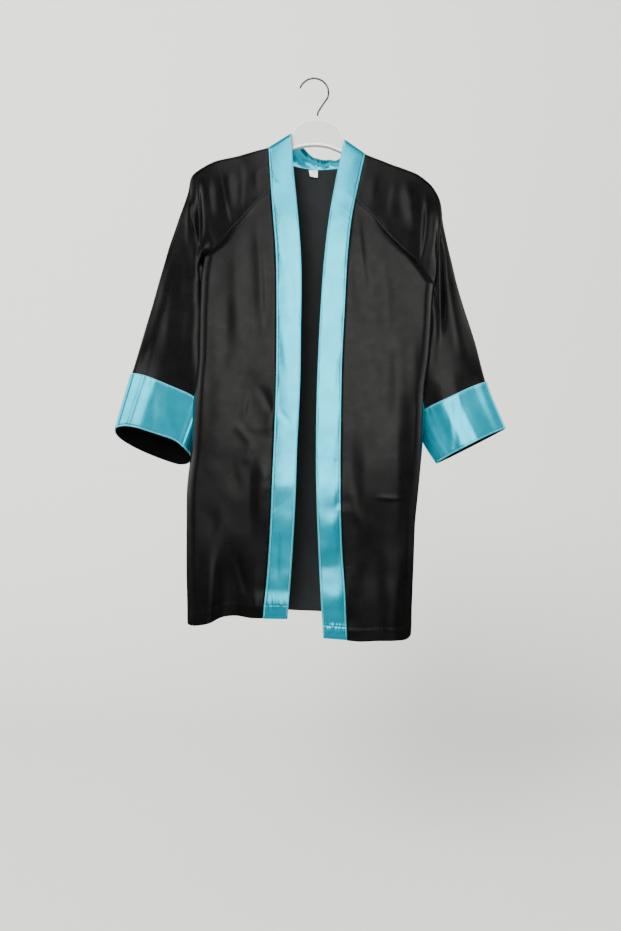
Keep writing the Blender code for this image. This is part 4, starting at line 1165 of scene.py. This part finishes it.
def join_finish(tree, shader, finish, share, gloss, height):
    """Joins a material's colour, gloss and relief to its shader."""
    mix = node(tree, "Mix", [(0, share)], data_type="RGBA")
    for index, colour in ((6, finish.dark), (7, finish.light)):
        mix.inputs[index].default_value = (*colour, 1.0)
    tree.links.new(mix.outputs[2], shader.inputs["Base Color"])
    tree.links.new(mapped(tree, gloss, *finish.roughness), shader.inputs["Roughness"])
    settings = {"Strength": finish.relief, "Distance": finish.distance}
    relief = node(tree, "Bump", [("Height", height)], **settings)
    tree.links.new(relief.outputs["Normal"], shader.inputs["Normal"])


Cloth = namedtuple("Cloth", "name dark light roughness pitch distance relief sockets")
SPECULAR = "Specular IOR Level"
CLOTHS = {
    "satin": Cloth(
        "black_satin_outside", (0.0016, 0.0015, 0.0015), (0.0026, 0.0024, 0.0024),
        (0.26, 0.34), 0.00045, 0.00002, 0.25, {SPECULAR: 0.29},
    ),
    "inside": Cloth(
        "black_satin_inside", (0.0118, 0.0132, 0.0137), (0.0150, 0.0168, 0.0174),
        (0.70, 0.80), 0.00045, 0.00003, 0.25, {SPECULAR: 0.25},
    ),
    # The sleeves' inner face: a far darker copy of the inside satin, painted shade for the hollow
    # of the sleeve that shows through the cuff.
    "sleeve_inside": Cloth(
        "black_satin_painted_shade_in_sleeve", (0.0008, 0.0008, 0.0009), (0.0016, 0.0015, 0.0017),
        (0.60, 0.75), 0.00045, 0.00003, 0.25, {SPECULAR: 0.06},
    ),
    "turquoise": Cloth(
        "turquoise_satin_outside", (0.000, 0.60, 0.84), (0.000, 0.73, 0.97),
        (0.16, 0.22), 0.00045, 0.00002, 0.16, {"Metallic": 0.85, SPECULAR: 0.6},
    ),
    # The folded edges: a paler, less glossy copy of the turquoise satin, a painted highlight along
    # the rolled edges.
    "turquoise_edge_painted_highlight": Cloth(
        "turquoise_satin_folded_edge_painted_highlight", (0.06, 0.64, 0.84), (0.10, 0.72, 0.90),
        (0.30, 0.40), 0.00045, 0.00002, 0.25, {"Metallic": 0.45, SPECULAR: 0.6},
    ),
    "label": Cloth(
        "label_weave", (0.72, 0.72, 0.76), (0.84, 0.84, 0.86),
        (0.60, 0.75), 0.00035, 0.00006, 0.25, {"Sheen Weight": 0.2},
    ),
    "thread_black": Cloth(
        "thread_black", (0.004, 0.004, 0.004), (0.008, 0.007, 0.007),
        (0.50, 0.65), 0.0002, 0.00003, 0.25, {SPECULAR: 0.15},
    ),
    "thread_teal": Cloth(
        "thread_teal", (0.005, 0.08, 0.12), (0.01, 0.14, 0.20),
        (0.45, 0.6), 0.0002, 0.00003, 0.25, {SPECULAR: 0.3},
    ),
    "thread_turquoise": Cloth(
        "thread_turquoise", (0.16, 0.68, 0.78), (0.24, 0.76, 0.84),
        (0.40, 0.55), 0.0002, 0.00003, 0.25, {"Sheen Weight": 0.3},
    ),
}
WEAVE_ASPECT = 1.3

# Moulded plastic and plated steel. Scales and details are those of colour, gloss and relief.
Hard = namedtuple("Hard", "name dark light roughness scales detail distance relief sockets")
MOULDED = ((0.28, 0.42), (30.0, 90.0, 700.0), 2.0, 0.00008, 0.35, {"IOR": 1.46})
PLATED = ((0.20, 0.38), (240.0, 420.0, 1400.0), 3.0, 0.00004, 0.4, {"Metallic": 1.0})
HARDS = {
    "plastic": Hard("hanger_plastic_moulded", (0.54, 0.54, 0.515), (0.60, 0.60, 0.575), *MOULDED),
    # The rims and the boss take a lighter copy of the plate's plastic, a painted highlight where
    # they catch the light.
    "plastic_painted_highlight": Hard("hanger_plastic_painted_highlight", (0.84, 0.84, 0.82), (0.90, 0.90, 0.88), *MOULDED),
    "steel": Hard("hook_steel_plated", (0.50, 0.50, 0.52), (0.66, 0.66, 0.68), *PLATED),
}


def cloth_material(cloth):
    """Woven cloth: slow colour change, uneven gloss, and the weave's relief."""
    material, tree, shader = shader_material(cloth)
    place = node(tree, "TexCoord").outputs["Object"]
    share = mapped(tree, noise(tree, place, 22.0, 4.0, 0.6), 0.0, 1.0)
    threads = weave(tree, place, cloth.pitch, cloth.pitch * WEAVE_ASPECT)
    join_finish(tree, shader, cloth, share, noise(tree, place, 60.0, 3.0, 0.55), threads)
    return material


def hard_material(hard):
    """Plastic or metal: slow colour change, uneven gloss and a fine relief."""
    material, tree, shader = shader_material(hard)
    place = node(tree, "TexCoord").outputs["Object"]
    colour, gloss = noise(tree, place, hard.scales[0]), noise(tree, place, hard.scales[1])
    join_finish(tree, shader, hard, colour, gloss, noise(tree, place, hard.scales[2], hard.detail))
    return material


# The gown.

TOPSTITCH = 0.0021
# Lengths without stitches at the start and the end of each line.
MARGINS = {
    "hem": (0.001, 0.001), "cuff": (0.002, 0.002), "band": (0.004, 0.001),
    "band_hem": (0.0005, 0.0005), "neck": (0.004, 0.004), "label": (0.0, 0.0),
}
HEM_LINE = HEM_ALLOWANCE - 0.0003
LABEL_STITCH = 0.0011
Cut = namedtuple("Cut", "flat area rests_on")


def declare(node_name):
    """Hides the solid that a cloth piece stands in for."""
    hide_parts(node_name)


def sew(kind, word, grid, flipped, axis, distance, ends, material):
    """Stitches at a distance from the first (False) or last (True) line of a grid."""
    seams = [Seam(grid, flipped, axis, distance, end, *MARGINS[kind]) for end in ends]
    return add_stitches("_".join(filter(None, ("stitches", kind, word))), seams, material)


def build_gown(made):
    satin = [made["satin"], made["inside"]]
    # The third material, on the folded edge rows, is the paler copy: a painted highlight along the
    # edges.
    turquoise = [made["turquoise"], made["turquoise"], made["turquoise_edge_painted_highlight"]]
    black, bright, teal = made["thread_black"], made["thread_turquoise"], made["thread_teal"]
    ends = (False, True)
    for word, side in (("right", RIGHT), ("left", LEFT)):
        on_left = side.sign > 0
        front, grid = add_front(word, side, satin)
        hem = sew("hem", word, grid, on_left, 0, HEM_LINE, [True], black)
        declare("front_" + word)
        # The sleeve's inner face takes the darker copy, painted shade inside the sleeve.
        sleeve, _ = add_sleeve(word, side, [made["satin"], made["sleeve_inside"]])
        declare("sleeve_" + word)
        cuff, grid = add_cuff(word, side, turquoise)
        edges = sew("cuff", word, grid, not on_left, 0, TOPSTITCH, ends, bright)
        declare("cuff_" + word)
        band, grid = add_band(word, side, turquoise)
        edges = sew("band", word, grid, on_left, 1, TOPSTITCH, ends, bright)
        hem = sew("band_hem", word, grid, on_left, 0, BAND_HEMS[word], [True], teal)
        declare("band_" + word)
    back, grid = add_back(satin)
    hem = sew("hem", "back", grid, True, 0, HEM_LINE, [True], black)
    declare("back")
    neck, grid = add_neck_band(turquoise)
    edges = sew("neck", "", grid, False, 1, TOPSTITCH, ends, bright)
    declare("band_neck")
    label, grid = add_label(made["label"])
    seam = sew("label", "", grid, False, 0, LABEL_STITCH, [False], made["label"])
    declare("label")


# The plate's raised rims, which show in the neck opening, as rows of x and z, and the boss under
# the hook, as rows of radius and z.
UNDERSIDE = metres((
    (-100, -140), (-60, -126.5), (-36.2, -117.7), (-15, -112), (3.2, -110.7), (23, -113.3),
    (45.9, -122.6), (80, -141.5),
))
HUMP = metres((
    (-37.6, -93.8), (-33, -86.2), (-21.4, -74.5), (-8, -69.5), (2, -68.4), (9.8, -68.6),
    (22, -71.6), (40.8, -83.9), (46.6, -95), (49, -103),
))
BOSS = metres((
    (3.4, -69.3), (3.8, -68.2), (3.3, -66), (2.5, -63.2), (2.1, -62.2), (1.6, -61.8),
))
PLATE_FACE_Y = -0.0042
BOSS_X = 0.0056
BOSS_SIDES = 28
RIM_SIDES = 12
RIM_RINGS = 120
RIM_HEIGHT = 0.6
RIM_TAPER_RINGS = 4.0
RIM_END = 0.1


def add_rim(name, rows, radius, inset, material):
    """A rounded bead on the plate's front face, along its edge, with tapered ends."""
    line = Route([(x, PLATE_FACE_Y, z) for x, z in rows]).at(np.linspace(0.0, 1.0, RIM_RINGS))
    ahead = unit(np.gradient(line, axis=0))
    aside = np.stack((-ahead[:, 2], np.zeros(len(line)), ahead[:, 0]), axis=-1)
    line = line + aside * inset
    angles = 2.0 * math.pi * np.arange(RIM_SIDES)[None, :, None] / RIM_SIDES
    index = np.arange(RIM_RINGS)
    ends = ease(np.minimum(index, index[::-1]) / RIM_TAPER_RINGS)[:, None, None]
    ring = aside[:, None] * np.cos(angles) * radius
    ring = ring + np.array((0.0, -1.0, 0.0)) * np.sin(angles) * radius * RIM_HEIGHT
    points = (line[:, None] + ring * (ends * (1.0 - RIM_END) + RIM_END)).reshape(-1, 3)
    return add_piece(name, points, tube_faces(RIM_RINGS, RIM_SIDES), [material])


def add_boss(material):
    """The small turned boss that the hook's stem comes out of."""
    points = []
    for radius, z in BOSS:
        for side in range(BOSS_SIDES):
            angle = 2.0 * math.pi * side / BOSS_SIDES
            points.append((BOSS_X + radius * math.cos(angle), radius * math.sin(angle), z))
    return add_piece("hanger_boss", points, tube_faces(len(BOSS), BOSS_SIDES), [material])


def dress_hanger(made):
    # The rims and the boss get that lighter copy of the plastic: a painted highlight.
    rim = made["plastic_painted_highlight"]
    for piece in (
        add_rim("hanger_rim_lower", UNDERSIDE, 0.0021, 0.0019, rim),
        add_rim("hanger_rim_upper", HUMP, 0.0011, -0.0010, rim),
        add_boss(rim),
    ):
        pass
    for name, key in (("hanger_body", "plastic"), ("hanger_hook", "steel")):
        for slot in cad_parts[name].material_slots:
            slot.material = made[key]


# Stage, light and camera.

FLOOR_Z = -1.62
SWEEP_START, SWEEP_RADIUS, SWEEP_STEPS = 1.3, 1.1, 24
WALL_TOP = 6.0
FLOOR_HALF, FLOOR_NEAR = 40.0, -40.0
Paper = namedtuple("Paper", "name dark roughness sockets")
PAPER = Paper("studio_paper", (0.80, 0.80, 0.765), (0.9, 0.9), {SPECULAR: 0.1})


def add_stage():
    """A floor that sweeps up into a wall behind the gown."""
    profile = [(FLOOR_NEAR, FLOOR_Z), (SWEEP_START, FLOOR_Z)]
    for step in range(1, SWEEP_STEPS + 1):
        angle = 0.5 * math.pi * step / SWEEP_STEPS
        y = SWEEP_START + SWEEP_RADIUS * math.sin(angle)
        profile.append((y, FLOOR_Z + SWEEP_RADIUS * (1 - math.cos(angle))))
    profile.append((SWEEP_START + SWEEP_RADIUS, WALL_TOP))
    points = [(x, y, z) for x in (-FLOOR_HALF, FLOOR_HALF) for y, z in profile]
    count = len(profile)
    faces = [(row, row + count, row + count + 1, row + 1) for row in range(count - 1)]
    material, _, _ = shader_material(PAPER)
    floor = add_mesh("studio_floor", points, faces, [material])
    floor.visible_glossy = False


Light = namedtuple("Light", "name place target size energy reflected")
LIGHTS = (
    Light("key_softbox", (-3.0, -6.0, 3.6), (0.0, 0.0, -0.5), (4.0, 4.0), 1420.0, False),
    Light("overhead_strip", (-0.10, -1.75, 2.20), (0.02, 0.0, -0.15), (1.20, 2.2), 13.5, True),
)


def add_light(light):
    data = bpy.data.lights.new(light.name, "AREA")
    data.shape = "RECTANGLE"
    data.size, data.size_y = light.size
    data.energy = light.energy
    lamp = add_object(light.name, data, light.place)
    direction = Vector(light.target) - Vector(light.place)
    lamp.rotation_euler = direction.to_track_quat("-Z", "Y").to_euler()
    lamp.visible_glossy = light.reflected


# The studio around the gown: radiance by a direction's height, and its change from side to side.
# Rows are the direction's part, from -1 to 1, and the share of light.
WORLD_HEIGHTS = (
    (-1.00, 0.08), (-0.30, 0.022), (-0.11, 0.035), (-0.06, 0.22), (0.00, 0.88), (0.06, 1.00),
    (0.44, 1.00), (0.53, 0.45), (0.62, 0.13), (1.00, 0.13),
)
WORLD_SIDES = (
    (-1.00, 0.70), (-0.85, 0.40), (-0.60, 0.07), (-0.42, 0.04), (-0.30, 0.06), (-0.23, 0.15),
    (-0.185, 0.48), (-0.14, 0.92), (-0.10, 1.00), (0.21, 1.00), (0.25, 0.65), (0.31, 0.20),
    (0.39, 0.08), (0.62, 0.06), (0.82, 0.35), (1.00, 0.70),
)
WORLD_RADIANCE = 3.1


def graded(tree, value, levels):
    """A ramp over -1 to 1 through these levels."""
    ramp = node(tree, "ValToRGB", [("Fac", mapped(tree, value, 0.0, 1.0, -1.0, 1.0))])
    ramp.color_ramp.interpolation = "EASE"
    elements = ramp.color_ramp.elements
    while len(elements) < len(levels):
        elements.new(0.5)
    for element, (at, share) in zip(elements, levels):
        element.position = 0.5 + 0.5 * at
        element.color = (share, share, share, 1.0)
    return ramp.outputs["Color"]


def add_world():
    """Graded light for the gown and its reflections, and a plain pale background for the camera."""
    world = bpy.data.worlds.new("studio")
    bpy.context.scene.world = world
    world.use_nodes = True
    tree = world.node_tree
    split = node(tree, "SeparateXYZ", [(0, node(tree, "TexCoord").outputs["Generated"])])
    heights = graded(tree, split.outputs["Z"], WORLD_HEIGHTS)
    sides = graded(tree, split.outputs["X"], WORLD_SIDES)
    product = node(tree, "Math", [(0, heights), (1, sides)], operation="MULTIPLY")
    strength = node(tree, "Math", [(0, product.outputs["Value"])], operation="MULTIPLY")
    strength.inputs[1].default_value = WORLD_RADIANCE
    lit = tree.nodes["Background"]
    lit.inputs["Color"].default_value = (1.0, 0.99, 0.97, 1.0)
    tree.links.new(strength.outputs["Value"], lit.inputs["Strength"])
    plain = node(tree, "Background", Color=(0.80, 0.80, 0.79, 1.0))
    seen = node(tree, "LightPath").outputs["Is Camera Ray"]
    mix = node(tree, "MixShader", [(0, seen), (1, lit.outputs[0]), (2, plain.outputs[0])])
    tree.links.new(mix.outputs[0], tree.nodes["World Output"].inputs["Surface"])


CAMERA_PLACE = (-0.0058, -1.026, -0.637)
CAMERA_LENS, CAMERA_SENSOR = 24.05, 36.0


def add_camera():
    data = bpy.data.cameras.new("camera")
    data.lens, data.sensor_width = CAMERA_LENS, CAMERA_SENSOR
    data.clip_start, data.clip_end = 0.02, 200.0
    camera = add_object("camera", data, CAMERA_PLACE)
    camera.rotation_euler = (math.pi / 2, 0.0, 0.0)
    bpy.context.scene.camera = camera


made = {key: cloth_material(cloth) for key, cloth in CLOTHS.items()}
made.update({key: hard_material(hard) for key, hard in HARDS.items()})
build_gown(made)
dress_hanger(made)
add_stage()
add_world()
for light in LIGHTS:
    add_light(light)
add_camera()
